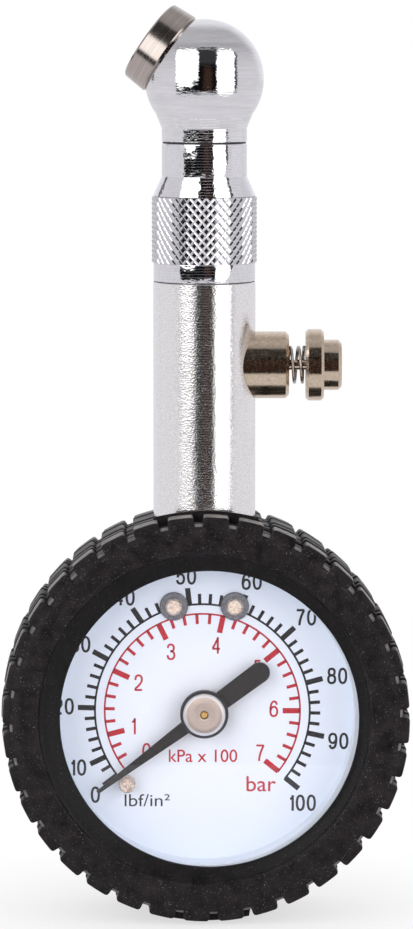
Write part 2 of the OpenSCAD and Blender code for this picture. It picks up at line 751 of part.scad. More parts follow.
module movement_front_plate() {
    color("gold") at_dial() difference() {
        union() {
            translate([0, 0, front_plate_low]) linear_extrude(plate_t) plate_outline();
            rotate([0, 0, stud_dir]) translate([hair_r + stud_out, 0, 0])
                bar(stud_r, hair_mid - hair_h, front_plate_low + cut, 0.1, 0);
        }
        plate_holes(front_plate_low, plate_t);
        for (p = pillar_places) translate([p[0], p[1], front_plate_low - cut])
            cylinder(r = pillar_screw_r + 2 * seat, h = plate_t + 2 * cut);
    }
}

module movement_back_plate() {
    color("gold") at_dial() difference() {
        translate([0, 0, back_plate_low]) linear_extrude(plate_t) union() {
            plate_outline();
            hull() {
                circle(pinion_boss);
                for (p = mount_places) translate(p) circle(plate_boss, $fn = 32);
            }
        }
        plate_holes(back_plate_low, plate_t);
        for (p = mount_places) translate([p[0], p[1], back_plate_low - cut])
            cylinder(r = mount_screw_r + seat, h = plate_t + 2 * cut);
    }
}

pillar_bore = 2.1;
module movement_pillars() {
    color("goldenrod") at_dial() for (p = pillar_places) translate(p) difference() {
        bar(pillar_d / 2, back_plate_top, front_plate_low, 0, 0);
        translate([0, 0, front_plate_low - pillar_bore])
            cylinder(r = pillar_screw_r + seat, h = pillar_bore + cut);
    }
}

module small_screw(r, head_r, head_h, length) {
    slot_w = 0.24;
    difference() {
        union() {
            bar(head_r, 0, head_h, 0, 0.1);
            bar(r, -length, cut, 0.1, 0);
        }
        translate([-head_r, -slot_w / 2, head_h - slot_w]) cube([2 * head_r, slot_w, head_h]);
    }
}

module movement_screws() {
    color("silver") at_dial() {
        for (p = pillar_places) translate([p[0], p[1], front_plate_top])
            small_screw(pillar_screw_r, 1, 0.6, plate_t + pillar_bore - 0.3);
        for (p = mount_places) translate([p[0], p[1], back_plate_top])
            small_screw(mount_screw_r, 1.3, 0.7, plate_t + mount_bore - 0.3);
    }
}

// A flat spiral from the pinion's collet to the stud on the front plate
module hairspring() {
    hair_in = collet_r + 0.15;
    steps = round(hair_turns * 16);
    spiral = [for (i = [0 : steps]) let (t = i / steps, a = stud_dir - 360 * hair_turns * (1 - t))
        [hair_in + (hair_r - hair_in) * t, a]];
    color("steelblue") at_dial() translate([0, 0, hair_mid - hair_h / 2]) linear_extrude(hair_h)
        polygon(concat([for (p = spiral) (p[0] + hair_t / 2) * [cos(p[1]), sin(p[1])]],
            [for (i = [steps : -1 : 0]) let (p = spiral[i])
                (p[0] - hair_t / 2) * [cos(p[1]), sin(p[1])]]));
}

// How much wider than its bar the link's eyes are, all round
link_eye = 0.3;
module link() {
    color("goldenrod") at_dial() difference() {
        translate([tail_at[0], tail_at[1], link_top - link_t]) linear_extrude(link_t) union() {
            for (y = [0, link_len]) translate([0, y]) circle(link_w / 2 + link_eye);
            translate([-link_w / 2, 0]) square([link_w, link_len]);
        }
        translate([tail_at[0], tail_at[1], link_top - link_t - cut])
            cylinder(r = link_pin_d / 2 + run, h = link_t + 2 * cut);
        translate([tip_pin_at[0], tip_pin_at[1], link_top - link_t - cut])
            cylinder(r = link_pin_d / 2 + link_play, h = link_t + 2 * cut);
    }
}

// ---------------------------------------------------------------- Bourdon tube and socket

// The flattened section of the tube, smaller by inset all round
module flat_section(inset) {
    half = bourdon_t / 2 - inset;
    run_h = bourdon_w - bourdon_t;
    union() {
        translate([-half, -run_h / 2]) square([2 * half, run_h]);
        for (y = [-1, 1]) translate([0, y * run_h / 2]) circle(half, $fn = 32);
    }
}

// The bend runs from the block's right-hand face round the bottom to the left, and then straight up
module bourdon_sweep(inset, extra) {
    rotate([0, 0, 180]) rotate_extrude(angle = 270 - socket_half_angle)
        translate([bourdon_r, 0]) flat_section(inset);
    translate([-bourdon_r, -0.01, 0]) rotate([-90, 0, 0]) linear_extrude(bourdon_end + 0.01 + extra)
        flat_section(inset);
}

module bourdon_tube() {
    color("orange") at_dial() translate([0, 0, bourdon_mid]) difference() {
        bourdon_sweep(0, 0);
        bourdon_sweep(bourdon_wall, cut);
    }
}

tip_lap = 0.5;
tip_spare = 0.3;

// The tip is a cap that reaches over the tube's straight end, with a lug that carries the link's pin
module bourdon_tip() {
    wide = bourdon_w + 2 * (tip_play + tip_wall);
    low = bourdon_end - tip_lap;
    lug_x0 = -bourdon_r + tip_half - cut;
    color("goldenrod") at_dial() union() {
        difference() {
            translate([-bourdon_r - tip_half, low, bourdon_mid - wide / 2])
                cube([2 * tip_half, tip_len, wide]);
            translate([-bourdon_r - tip_half + tip_wall, low - cut, bourdon_mid - wide / 2 + tip_wall])
                cube([2 * (tip_half - tip_wall), tip_travel + tip_lap + tip_spare + cut,
                    wide - 2 * tip_wall]);
        }
        translate([lug_x0, tip_pin_at[1] - pin_boss_r, lug_top - lug_t])
            cube([tip_pin_at[0] - lug_x0, 2 * pin_boss_r, lug_t]);
        translate([tip_pin_at[0], tip_pin_at[1], 0]) {
            bar(pin_boss_r, lug_top - lug_t, lug_top, 0, 0);
            bar(link_pin_d / 2, lug_top - cut, link_top + cut, 0, 0.05);
        }
    }
}

block_half_x = 5.5;
block_low = 9.6;
block_t = 8.1;
block_in_r = block_r - block_t;
block_lap = 2;
tongue_low = 5;
mount_bore = 2.7;
screw_spare = 0.3;
socket_passage_r = 1;
branch_r = 0.5;
// The air passage starts below the branch that leads to the Bourdon tube's open end
passage_low = bourdon_r - 2 * socket_passage_r;

// The branch, drilled from the tube's open end into the passage
module socket_branch() {
    mouth_dir = 90 - socket_half_angle;
    mouth = [bourdon_r * cos(mouth_dir), bourdon_r * sin(mouth_dir), bourdon_mid];
    along = [0, bourdon_r, 0] - mouth;
    length = norm(along);
    translate(mouth) rotate([0, acos(along[2] / length), atan2(along[1], along[0])])
        translate([0, 0, -1]) cylinder(r = branch_r, h = length + 1);
}

module socket_block() {
    arc_a = socket_half_angle;
    color("darkgoldenrod") at_dial() difference() {
        union() {
            rotate([0, 0, 90 - arc_a]) rotate_extrude(angle = 2 * arc_a)
                translate([block_in_r, case_floor + seat])
                    square([block_r - block_in_r, dial_back - case_floor - seat]);
            translate([-block_half_x, block_low, case_floor + seat])
                cube([2 * block_half_x, block_in_r + block_lap - block_low, dial_back - case_floor - seat]);
            translate([-block_half_x, tongue_low, case_floor + seat])
                cube([2 * block_half_x, block_low - tongue_low + cut, back_plate_low - case_floor - seat]);
            rotate([-90, 0, 0])
                bar(spigot_d / 2, block_in_r + block_lap, tube_z0 - dial_z + spigot_len, 0, 0.5);
        }
        translate([0, 0, dial_back]) cylinder(r = block_r, h = case_r);
        rotate([-90, 0, 0]) translate([0, 0, passage_low])
            cylinder(r = socket_passage_r, h = tube_z0 - dial_z + spigot_len - passage_low + cut);
        socket_branch();
        for (x = [-1, 1]) {
            translate([x * dial_screw_x, dial_screw_up, dial_back - dial_screw_grip - screw_spare])
                cylinder(r = dial_screw_d / 2 + seat, h = dial_screw_grip + screw_spare + cut);
            translate([x * case_screw_x, case_screw_up, case_back])
                cylinder(r = case_screw_r + seat, h = case_wall + case_screw_grip + screw_spare);
        }
        for (p = mount_places) translate([p[0], p[1], back_plate_low - mount_bore])
            cylinder(r = mount_screw_r + seat, h = mount_bore + cut);
    }
}

// ---------------------------------------------------------------- stem tube and check valve

spigot_bore_depth = spigot_len + 1;
valve_seat_up = 4.8;
valve_seat_z = bleed_z + valve_seat_up;
thread_bore_r = max(thread_d, check_d) / 2 + seat;
ring_recess_w = 0.75;
ring_recess_r = thread_bore_r + ring_recess_w;
ring_recess_h = 0.9;
bleed_stub_r = 3.2;

module stem_tube() {
    color("silver") difference() {
        bar(tube_d / 2, tube_z0, tube_z1, tube_edge, tube_edge);
        translate([0, 0, tube_z0 - cut]) cylinder(r = spigot_d / 2 + seat, h = spigot_bore_depth + cut);
        translate([0, 0, tube_z0]) cylinder(r = passage_d / 2, h = tube_len);
        translate([0, 0, valve_seat_z]) cylinder(r = thread_bore_r, h = tube_z1 - valve_seat_z + cut);
        translate([0, 0, tube_z1 - ring_recess_h]) cylinder(r = ring_recess_r, h = ring_recess_h + cut);
        at_bleed() cylinder(r = bleed_stub_r + seat, h = tube_d);
    }
}

check_z0 = valve_seat_z + seat;
check_stem_r = 0.5;
check_hole_r = 1.1;
check_disc_t = 0.8;
check_rest = 0.02;
check_recess_r = 2.2;
check_floor = 1.3;
check_turns = 2;
check_solid = (check_turns + 1.5) * check_wire;
check_spare = 0.25;
check_head_z = check_z0 + check_floor + check_solid + check_spare + check_travel;
check_head_r = 1.9;
check_head_t = 0.5;
check_z1 = check_head_z + check_head_t + 2 * seat;

module check_valve_body() {
    color("goldenrod") difference() {
        bar(check_d / 2, check_z0, check_z1, 0.2, 0.2);
        translate([0, 0, check_z0 - cut]) cylinder(r = check_hole_r, h = check_floor + 2 * cut);
        translate([0, 0, check_z0 + check_floor])
            cylinder(r = check_recess_r, h = check_z1 - check_z0 - check_floor + cut);
    }
}

module check_poppet() {
    color("dimgray") union() {
        bar(check_poppet_d / 2, check_z0 - check_rest - check_disc_t, check_z0 - check_rest, 0.15, 0);
        bar(check_stem_r, check_z0 - cut, check_head_z + cut, 0, 0);
        bar(check_head_r, check_head_z, check_head_z + check_head_t, 0.1, 0.1);
    }
}

check_coil_r = 1.35;
module check_spring() {
    color("silver") coil(check_coil_r, check_wire, check_turns, check_z0 + check_floor, check_head_z);
}

// ---------------------------------------------------------------- knurled collar

// A diamond knurl: points stand out at every other place of a grid, and the grooves between them
// run up to the left and to the right in straight flights
module knurl(z0, z1) {
    around = 2 * knurl_count;
    up = 2 * knurl_rows;
    low = knurl_d / 2 - knurl_depth;
    inner = low - 1;
    function grid(i, j) = let (a = 360 * i / around, r = (i + j) % 2 == 0 ? low : knurl_d / 2)
        [r * cos(a), r * sin(a), z0 + (z1 - z0) * j / up];
    outside = [for (j = [0 : up], i = [0 : around - 1]) grid(i, j)];
    inside = [for (z = [z0, z1], i = [0 : around - 1]) let (a = 360 * i / around)
        [inner * cos(a), inner * sin(a), z]];
    first_in = len(outside);
    function at(i, j) = j * around + i % around;
    function in_at(i, j) = first_in + j * around + i % around;
    skin = [for (j = [0 : up - 1], i = [0 : around - 1]) each (i + j) % 2 == 0
        ? [[at(i, j), at(i + 1, j + 1), at(i + 1, j)], [at(i, j), at(i, j + 1), at(i + 1, j + 1)]]
        : [[at(i, j), at(i, j + 1), at(i + 1, j)], [at(i + 1, j), at(i, j + 1), at(i + 1, j + 1)]]];
    bore = [for (i = [0 : around - 1])
        each [[in_at(i, 0), in_at(i + 1, 0), in_at(i + 1, 1)], [in_at(i, 0), in_at(i + 1, 1), in_at(i, 1)]]];
    foot = [for (i = [0 : around - 1])
        each [[in_at(i, 0), at(i, 0), at(i + 1, 0)], [in_at(i, 0), at(i + 1, 0), in_at(i + 1, 0)]]];
    head = [for (i = [0 : around - 1])
        each [[in_at(i, 1), at(i + 1, up), at(i, up)], [in_at(i, 1), in_at(i + 1, 1), at(i + 1, up)]]];
    polyhedron(concat(outside, inside), concat(skin, bore, foot, head));
}

collar_foot = check_z1 + seat;
swivel_r = swivel_d / 2;
clip_out = 0.5;
clip_r = swivel_r + clip_out;
clip_t = 0.6;
clip_z = swivel_z - swivel_len + clip_t;
clip_room = 0.15;
clip_play = 0.03;
groove_depth_in = 0.7;
groove_in = swivel_r - groove_depth_in;

module knurled_collar() {
    body_r = knurl_d / 2 - knurl_depth - 0.25;
    knurl_lap = 0.02;
    color("lightgray") difference() {
        union() {
            rotate_extrude() polygon([
                [0, collar_foot], [thread_d / 2 - 0.3, collar_foot], [thread_d / 2, collar_foot + 0.3],
                [thread_d / 2, tube_z1], [band_d / 2 - 0.2, tube_z1], [band_d / 2, tube_z1 + 0.2],
                [band_d / 2, knurl_z0], [body_r, knurl_z0], [body_r, knurl_z1],
                [knurl_d / 2 - 0.15, knurl_z1], [neck_d / 2, cone_z1],
                [neck_d / 2, swivel_z - 0.2], [neck_d / 2 - 0.2, swivel_z], [0, swivel_z]]);
            knurl(knurl_z0 - knurl_lap, knurl_z1 + knurl_lap);
        }
        translate([0, 0, collar_foot - cut])
            cylinder(r = clip_r + clip_room, h = clip_z + clip_t + clip_room - collar_foot + cut);
        translate([0, 0, collar_foot]) cylinder(r = swivel_r + run, h = swivel_z - collar_foot + cut);
    }
}

module collar_o_ring() {
    mean = (thread_d / 2 + ring_recess_r) / 2;
    half = (ring_recess_r - thread_d / 2) / 2;
    color("black") o_ring(mean, half - clip_play, tube_z1 - half);
}

// ---------------------------------------------------------------- ball chuck

flat_at = nozzle_reach - ring_h;
pocket_r = pocket_d / 2;
head_foot = swivel_z + swivel_gap;
swivel_ring_share = 0.41;
swivel_ring_z = swivel_z - swivel_ring_share * swivel_len;
swivel_ring_r = 0.48;
ball_r = ball_d / 2;
// The neck ends inside the ball, this far above the circle in which it meets the ball's surface
neck_in = 1.1;
neck_top = ball_z - sqrt(ball_r * ball_r - neck_d * neck_d / 4) + neck_in;
// The flare's top lies inside the ball, this far below the ball's centre and this far in from its face
flare_below = 4;
flare_in = 0.25;
flare_r = sqrt(ball_r * ball_r - flare_below * flare_below) - flare_in;
ring_groove_h = 1.2;
air_r = 1.4;
air_lap = 1;

module ball_head() {
    color("gainsboro") difference() {
        union() {
            difference() {
                translate([0, 0, ball_z]) sphere(ball_r);
                at_nozzle() translate([-ball_d, -ball_d, flat_at - 0.05]) cube(2 * ball_d);
            }
            bar(neck_d / 2, head_foot, neck_top, 0.2, 0);
            translate([0, 0, ball_z - flare_below - flare_h])
                cylinder(r1 = neck_d / 2, r2 = flare_r, h = flare_h);
            bar(swivel_r, swivel_z - swivel_len, head_foot + cut, 0.3, 0);
        }
        at_nozzle() translate([0, 0, pocket_floor]) cylinder(r = pocket_r, h = ball_d);
        at_nozzle() translate([0, 0, -air_lap]) cylinder(r = air_r, h = air_lap + pocket_floor + cut);
        translate([0, 0, swivel_z - swivel_len - cut])
            cylinder(r = air_r, h = ball_z - swivel_z + swivel_len);
        ring(swivel_r + 1, groove_in, clip_z, clip_z + clip_t);
        ring(swivel_r + 1, swivel_r - 2 * swivel_ring_r, swivel_ring_z - ring_groove_h / 2,
            swivel_ring_z + ring_groove_h / 2);
    }
}

module swivel_o_ring() {
    color("black") o_ring(swivel_r + run / 2 - swivel_ring_r, swivel_ring_r, swivel_ring_z);
}

// A snap ring with a gap, in the groove at the spigot's foot, under the collar's shoulder
module swivel_clip() {
    gap = 40;
    color("silver") rotate([0, 0, gap / 2]) rotate_extrude(angle = 360 - gap)
        translate([groove_in + clip_play, clip_z + clip_play])
            square([clip_r - groove_in - clip_play, clip_t - 2 * clip_play]);
}

ring_edge = 0.25;
ring_spigot = 3;
spigot_wall = 0.65;
seal_lip_r = pocket_r - spigot_wall;
seal_hole = 0.8;
vent_r = 0.5;
vent_out = 0.65;
depressor_t = 0.8;

module nozzle_ring() {
    color("tan") at_nozzle() difference() {
        union() {
            rotate_extrude() polygon([[0, flat_at], [ring_d / 2 - ring_edge, flat_at],
                [ring_d / 2, flat_at + ring_edge], [ring_mouth_d / 2, nozzle_reach - ring_edge],
                [ring_mouth_d / 2 - ring_edge, nozzle_reach], [0, nozzle_reach]]);
            bar(pocket_r - seat, flat_at - ring_spigot, flat_at + cut, 0.2, 0);
        }
        translate([0, 0, flat_at - cut]) cylinder(r = valve_bore_d / 2, h = ring_h + 2 * cut);
        translate([0, 0, flat_at - ring_spigot - cut]) cylinder(r = seal_lip_r, h = ring_spigot + cut);
    }
}

// The valve presses its rim on the seal's front face, round the hole for the depressor pin
module nozzle_seal() {
    foot = pocket_floor + depressor_t;
    color("black") at_nozzle() difference() {
        union() {
            bar(pocket_r - 2 * seat, foot, flat_at - ring_spigot, 0, 0);
            bar(seal_lip_r - seat, foot, flat_at - seat, 0, 0.3);
        }
        translate([0, 0, foot - cut]) cylinder(r = depressor_d / 2 + seal_hole, h = ball_d);
    }
}

module depressor_pin() {
    color("goldenrod") at_nozzle() difference() {
        union() {
            bar(pocket_r - 2 * seat, pocket_floor, pocket_floor + depressor_t, 0, 0);
            bar(depressor_d / 2, pocket_floor, flat_at - 2 * seat, 0, 0.3);
        }
        for (a = [0 : 120 : 240]) rotate([0, 0, a])
            translate([depressor_d / 2 + vent_out, 0, pocket_floor - cut])
                cylinder(r = vent_r, h = depressor_t + 2 * cut);
    }
}

// ---------------------------------------------------------------- bleed valve

housing_edge = 0.5;
stub_in = 0.4;
stub_end = passage_d / 2 + stub_in;
stem_room = 0.45;
stem_hole_r = bleed_stem_d / 2 + stem_room;
spring_room = 0.3;
seat_bore_r = bleed_spring_d / 2 + spring_room;
button_x0 = housing_x + button_travel + button_spare;
cap_x0 = button_x0 + flange_t;
button_x1 = cap_x0 + button_cap_l;
seal_t = 0.5;
poppet_t = 0.8;
stem_grip = 1;
stem_x1 = cap_x0 + stem_grip;

// Saddled against the stem tube, with a threaded stub through its wall
saddle_gap = 0.02;
module bleed_housing() {
    color("tan") difference() {
        union() {
            difference() {
                at_bleed() bar(housing_d / 2, stub_end, housing_x, 0, housing_edge);
                translate([0, 0, tube_z0]) cylinder(r = tube_d / 2 + saddle_gap, h = tube_len);
            }
            at_bleed() bar(bleed_stub_r, stub_end, housing_x - spring_seat - cut, 0, 0);
        }
        at_bleed() cylinder(r = stem_hole_r, h = housing_x + 1);
        at_bleed() translate([0, 0, housing_x - spring_seat])
            cylinder(r = seat_bore_r, h = spring_seat + 1);
    }
}

module bleed_spring() {
    color("silver") at_bleed()
        coil((bleed_spring_d - bleed_wire) / 2, bleed_wire, bleed_turns, housing_x - spring_seat,
            button_x0);
}

module bleed_button() {
    color("tan") at_bleed() difference() {
        union() {
            bar(flange_d / 2, button_x0, cap_x0, 0.4, 0.4);
            bar(button_cap_d / 2, cap_x0 - cut, button_x1, 0, 0.5);
        }
        translate([0, 0, button_x0 - cut]) cylinder(r = bleed_stem_d / 2, h = stem_x1 - button_x0 + cut);
    }
}

module bleed_stem() {
    color("goldenrod") at_bleed() union() {
        bar(bleed_stem_d / 2, stub_end - seal_t - poppet_t, stem_x1, 0, 0);
        bar(bleed_poppet_d / 2, stub_end - seal_t - poppet_t, stub_end - seal_t, 0.15, 0);
    }
}

module bleed_seal() {
    color("black") at_bleed() ring(bleed_poppet_d / 2, bleed_stem_d / 2, stub_end - seal_t, stub_end);
}

bleed_path = coil_path((bleed_spring_d - bleed_wire) / 2, bleed_wire, bleed_turns,
    housing_x - spring_seat, button_x0);
check_path = coil_path(check_coil_r, check_wire, check_turns, check_z0 + check_floor, check_head_z);
echo(bleed_spring_least_gap = coil_gap(bleed_path, bleed_wire));
echo(check_spring_least_gap = coil_gap(check_path, check_wire));

tyre_boot();
gauge_case();
bezel_ring();
lens();
case_screws();
dial_plate();
dial_screws();
dial_washers();
stop_pin();
pointer();
pointer_boss();
pointer_cap();
pinion_arbor();
sector_gear();
sector_arbor();
movement_front_plate();
movement_back_plate();
movement_pillars();
movement_screws();
hairspring();
link();
bourdon_tube();
bourdon_tip();
socket_block();
stem_tube();
check_valve_body();
check_poppet();
check_spring();
knurled_collar();
collar_o_ring();
ball_head();
swivel_o_ring();
swivel_clip();
nozzle_ring();
nozzle_seal();
depressor_pin();
bleed_housing();
bleed_spring();
bleed_button();
bleed_stem();
bleed_seal();
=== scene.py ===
import math

import bmesh
import bpy
import numpy as np
from mathutils import Matrix, Vector


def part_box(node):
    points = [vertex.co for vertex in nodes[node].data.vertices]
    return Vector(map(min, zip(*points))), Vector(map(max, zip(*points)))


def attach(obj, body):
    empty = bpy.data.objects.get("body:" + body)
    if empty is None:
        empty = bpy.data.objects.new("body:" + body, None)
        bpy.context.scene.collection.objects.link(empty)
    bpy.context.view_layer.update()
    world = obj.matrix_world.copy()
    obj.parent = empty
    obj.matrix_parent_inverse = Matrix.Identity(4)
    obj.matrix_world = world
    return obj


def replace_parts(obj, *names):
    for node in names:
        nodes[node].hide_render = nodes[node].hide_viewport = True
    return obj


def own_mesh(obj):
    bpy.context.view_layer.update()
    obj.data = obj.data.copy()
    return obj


# Finishes and fine forms of a dial tyre-pressure gauge with a rubber boot. The scene is in metres, with
# +Z up the stem, and the dial faces -Y. Sizes are written in mm, and MM takes them to metres.

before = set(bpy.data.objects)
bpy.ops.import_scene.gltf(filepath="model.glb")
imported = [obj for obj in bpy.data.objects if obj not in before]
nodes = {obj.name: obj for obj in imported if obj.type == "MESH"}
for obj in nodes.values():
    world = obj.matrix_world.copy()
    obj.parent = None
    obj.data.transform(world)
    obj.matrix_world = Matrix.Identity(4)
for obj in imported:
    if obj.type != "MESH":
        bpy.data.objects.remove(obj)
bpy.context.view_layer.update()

MM = 0.001

X, Y, Z = 0, 1, 2


def node_box(name):
    """The low and the high corner of a CAD node's box, in mm."""
    return [tuple(round(c / MM, 4) for c in corner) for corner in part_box(name)]


# Places of the object, from the boxes of its solids
DIAL_Z = (node_box("bezel_ring")[0][Z] + node_box("bezel_ring")[1][Z]) / 2 * MM
DIAL_FRONT = -node_box("dial_plate")[0][Y] * MM
CAP_FRONT = node_box("pointer_cap")[0][Y]
BALL_R = 8.95
BALL_Z = (node_box("ball_head")[1][Z] - BALL_R) * MM
NOZZLE_RISE = math.radians(35)
NOZZLE_TURN = math.radians(9)

# Where finishes, painted sheen and painted shade change, in mm. Each pair is where the change starts and
# where it is complete.
WEAR_SHEEN_R, WEAR_SHEEN_END_W, WEAR_SHEEN_SHOULDER_W = (29.75, 30.05), (11.0, 11.15), (7.9, 8.2)
BOOT_LIP_R, CAP_EDGE_R, BALL_NECK_Z = (24.5, 25.1), (2.7, 2.76), (121.0, 120.2)


# ------------------------------------------------------------------ small tools

def linear(code):
    """An sRGB hex colour as the linear RGBA that the shaders work in."""
    parts = [int(code[i:i + 2], 16) / 255 for i in (1, 3, 5)]
    return [c / 12.92 if c <= 0.04045 else ((c + 0.055) / 1.055) ** 2.4 for c in parts] + [1.0]


def add(tree, kind, links=None, stops=(), **settings):
    """A node of that kind in the tree, with its settings, and inputs linked or set.

    Colour stops take the place of the two that a new ramp comes with, one at each end.
    """
    node = tree.nodes.new(kind)
    for key, value in settings.items():
        setattr(node, key, value)
    for key, value in (links or {}).items():
        socket = node.inputs[key]
        if isinstance(value, bpy.types.NodeSocket):
            tree.links.new(value, socket)
        else:
            socket.default_value = value
    if stops:
        band = node.color_ramp.elements
        for place, colour in stops:
            band.new(place).color = colour
        band.remove(band[0])
        band.remove(band[-1])
    return node


def surface(name, **uniform):
    """A material with one principled surface, whose uniform values are set on its own sockets."""
    made = bpy.data.materials.new(name)
    made.use_nodes = True
    tree = made.node_tree
    tree.nodes.clear()
    skin = add(tree, "ShaderNodeBsdfPrincipled", {k.replace("_", " "): v for k, v in uniform.items()})
    add(tree, "ShaderNodeOutputMaterial", {"Surface": skin.outputs[0]})
    return made, tree, skin


def grain(tree, size_mm, detail=3.0, stretch=(1, 1, 1)):
    """A cloudy pattern through the solid, with lumps of that size, drawn out where stretch is small."""
    point = add(tree, "ShaderNodeTexCoord").outputs["Object"]
    drawn = add(tree, "ShaderNodeVectorMath", {0: point, 1: stretch}, operation="MULTIPLY").outputs[0]
    return add(tree, "ShaderNodeTexNoise", {"Vector": drawn, "Scale": 1 / (size_mm * MM), "Detail": detail,
                                            "Roughness": 0.6}).outputs["Fac"]


def coordinate(tree, axis):
    """How far along one of the object's own axes a point is."""
    place = add(tree, "ShaderNodeTexCoord").outputs["Object"]
    return add(tree, "ShaderNodeSeparateXYZ", {0: place}).outputs[axis]


def lathe_lines(tree, centre, axis, pitch_mm):
    """A pattern that is constant round an axis: the fine lines that a lathe tool leaves.

    They are drawn some three times as coarse as a tool's feed, so that they show.
    """
    place = add(tree, "ShaderNodeTexCoord").outputs["Object"]
    point = add(tree, "ShaderNodeVectorMath", {0: place, 1: centre}, operation="SUBTRACT")
    along = add(tree, "ShaderNodeVectorMath", {0: point.outputs[0], 1: axis}, operation="DOT_PRODUCT")
    foot = add(tree, "ShaderNodeVectorMath", {0: axis, "Scale": along.outputs["Value"]}, operation="SCALE")
    out = add(tree, "ShaderNodeVectorMath", {0: point.outputs[0], 1: foot.outputs[0]}, operation="DISTANCE")
    pair = add(tree, "ShaderNodeCombineXYZ", {"X": along.outputs["Value"], "Y": out.outputs["Value"]})
    return add(tree, "ShaderNodeTexNoise", {"Vector": pair.outputs[0], "Scale": 1 / (pitch_mm * MM),
                                            "Detail": 3.0, "Roughness": 0.7}).outputs["Fac"]


def feed_marks(tree, pitch_mm, lean_deg, uneven):
    """The height in mm of the turned steps up a shaft, which lean down by that much, some more or less.

    They are drawn as coarse as they need to be to tear the edge of a reflection.
    """
    waver = add(tree, "ShaderNodeMath",
                {0: grain(tree, 1.1, 2.0), 1: 0.5 * pitch_mm * MM, 2: coordinate(tree, "Z")},
                operation="MULTIPLY_ADD").outputs[0]
    step = add(tree, "ShaderNodeMath", {0: waver, 1: 1 / (pitch_mm * MM)}, operation="MULTIPLY").outputs[0]
    tooth = add(tree, "ShaderNodeMath", {0: step}, operation="FRACT").outputs[0]
    lean = math.tan(math.radians(lean_deg)) * pitch_mm
    share = add(tree, "ShaderNodeMapRange",
                {"Value": grain(tree, 1.6, 2.0, (0.5, 0.5, 1)), "From Min": 0.3, "From Max": 0.55,
                 "To Min": lean * (1 - uneven), "To Max": lean}).outputs["Result"]
    return add(tree, "ShaderNodeMath", {0: tooth, 1: share}, operation="MULTIPLY").outputs[0]


def from_dial_axis(tree):
    """The arrow from the dial's axis straight out to a point, and its length."""
    place = add(tree, "ShaderNodeTexCoord").outputs["Object"]
    offset = add(tree, "ShaderNodeVectorMath", {0: place, 1: (0, 0, DIAL_Z)}, operation="SUBTRACT")
    out = add(tree, "ShaderNodeVectorMath", {0: offset.outputs[0], 1: (1, 0, 1)},
              operation="MULTIPLY").outputs[0]
    return out, add(tree, "ShaderNodeVectorMath", {0: out}, operation="LENGTH").outputs["Value"]


def finish(tree, skin, pattern, dark, light, smooth, rough, depth_mm=0.0, height=None):
    """Lays a pattern over the skin, in two colours and in a range of roughness, and returns the colour.

    With a depth, the pattern or the height given in its place is a relief too, in units of that depth.
    """
    even = add(tree, "ShaderNodeMapRange",
               {"Value": pattern, "From Min": 0.3, "From Max": 0.7}).outputs["Result"]
    colour = add(tree, "ShaderNodeMix", {"Factor": even, "A": linear(dark), "B": linear(light)},
                 data_type="RGBA").outputs["Result"]
    polish = add(tree, "ShaderNodeMapRange", {"Value": even, "To Min": smooth, "To Max": rough})
    tree.links.new(colour, skin.inputs["Base Color"])
    tree.links.new(polish.outputs["Result"], skin.inputs["Roughness"])
    if depth_mm:
        relief = pattern if height is None else height
        bump = add(tree, "ShaderNodeBump", {"Height": relief, "Distance": depth_mm * MM})
        tree.links.new(bump.outputs["Normal"], skin.inputs["Normal"])
    return colour


def grained(name, size_mm, dark, light, smooth, rough, depth_mm=0.0, detail=3.0, **uniform):
    """A material that is cloudy all over, in its colour and roughness and, with a depth, in its relief."""
    made, tree, skin = surface(name, **uniform)
    finish(tree, skin, grain(tree, size_mm, detail), dark, light, smooth, rough, depth_mm)
    return made


# ------------------------------------------------------------------ materials

def wear_and_sheen_share(tree, out, radius):
    """How much dusty grey a point of the boot gets: part wear, part painted sheen of the lands seen
    edge-on.

    It goes on the faces of the tread that point outwards, in patches. The faces lie outside a radius or at
    the ends of the width, and those of the shoulders get the most.
    """
    normal = add(tree, "ShaderNodeTexCoord").outputs["Normal"]
    straight = add(tree, "ShaderNodeVectorMath", {0: out}, operation="NORMALIZE").outputs[0]
    facing = add(tree, "ShaderNodeVectorMath", {0: normal, 1: straight}, operation="DOT_PRODUCT")
    width = add(tree, "ShaderNodeMath", {0: coordinate(tree, "Y")}, operation="ABSOLUTE").outputs[0]
    outward = add(tree, "ShaderNodeMapRange",
                  {"Value": facing.outputs["Value"], "From Min": 0.55, "From Max": 0.9})
    high = add(tree, "ShaderNodeMapRange",
               {"Value": radius, "From Min": WEAR_SHEEN_R[0] * MM, "From Max": WEAR_SHEEN_R[1] * MM})
    end = add(tree, "ShaderNodeMapRange",
              {"Value": width, "From Min": WEAR_SHEEN_END_W[0] * MM, "From Max": WEAR_SHEEN_END_W[1] * MM})
    shoulder = add(tree, "ShaderNodeMapRange",
                   {"Value": width, "From Min": WEAR_SHEEN_SHOULDER_W[0] * MM,
                    "From Max": WEAR_SHEEN_SHOULDER_W[1] * MM, "To Min": 0.25, "To Max": 1.0})
    patchy = add(tree, "ShaderNodeMapRange",
                 {"Value": grain(tree, 0.8, 4.0), "From Min": 0.3, "From Max": 0.6,
                  "To Min": 0.45, "To Max": 1.0})
    share = add(tree, "ShaderNodeMath", {0: high.outputs["Result"], 1: end.outputs["Result"]},
                operation="MAXIMUM").outputs[0]
    for part in (outward, shoulder, patchy):
        share = add(tree, "ShaderNodeMath", {0: share, 1: part.outputs["Result"]},
                    operation="MULTIPLY").outputs[0]
    return share


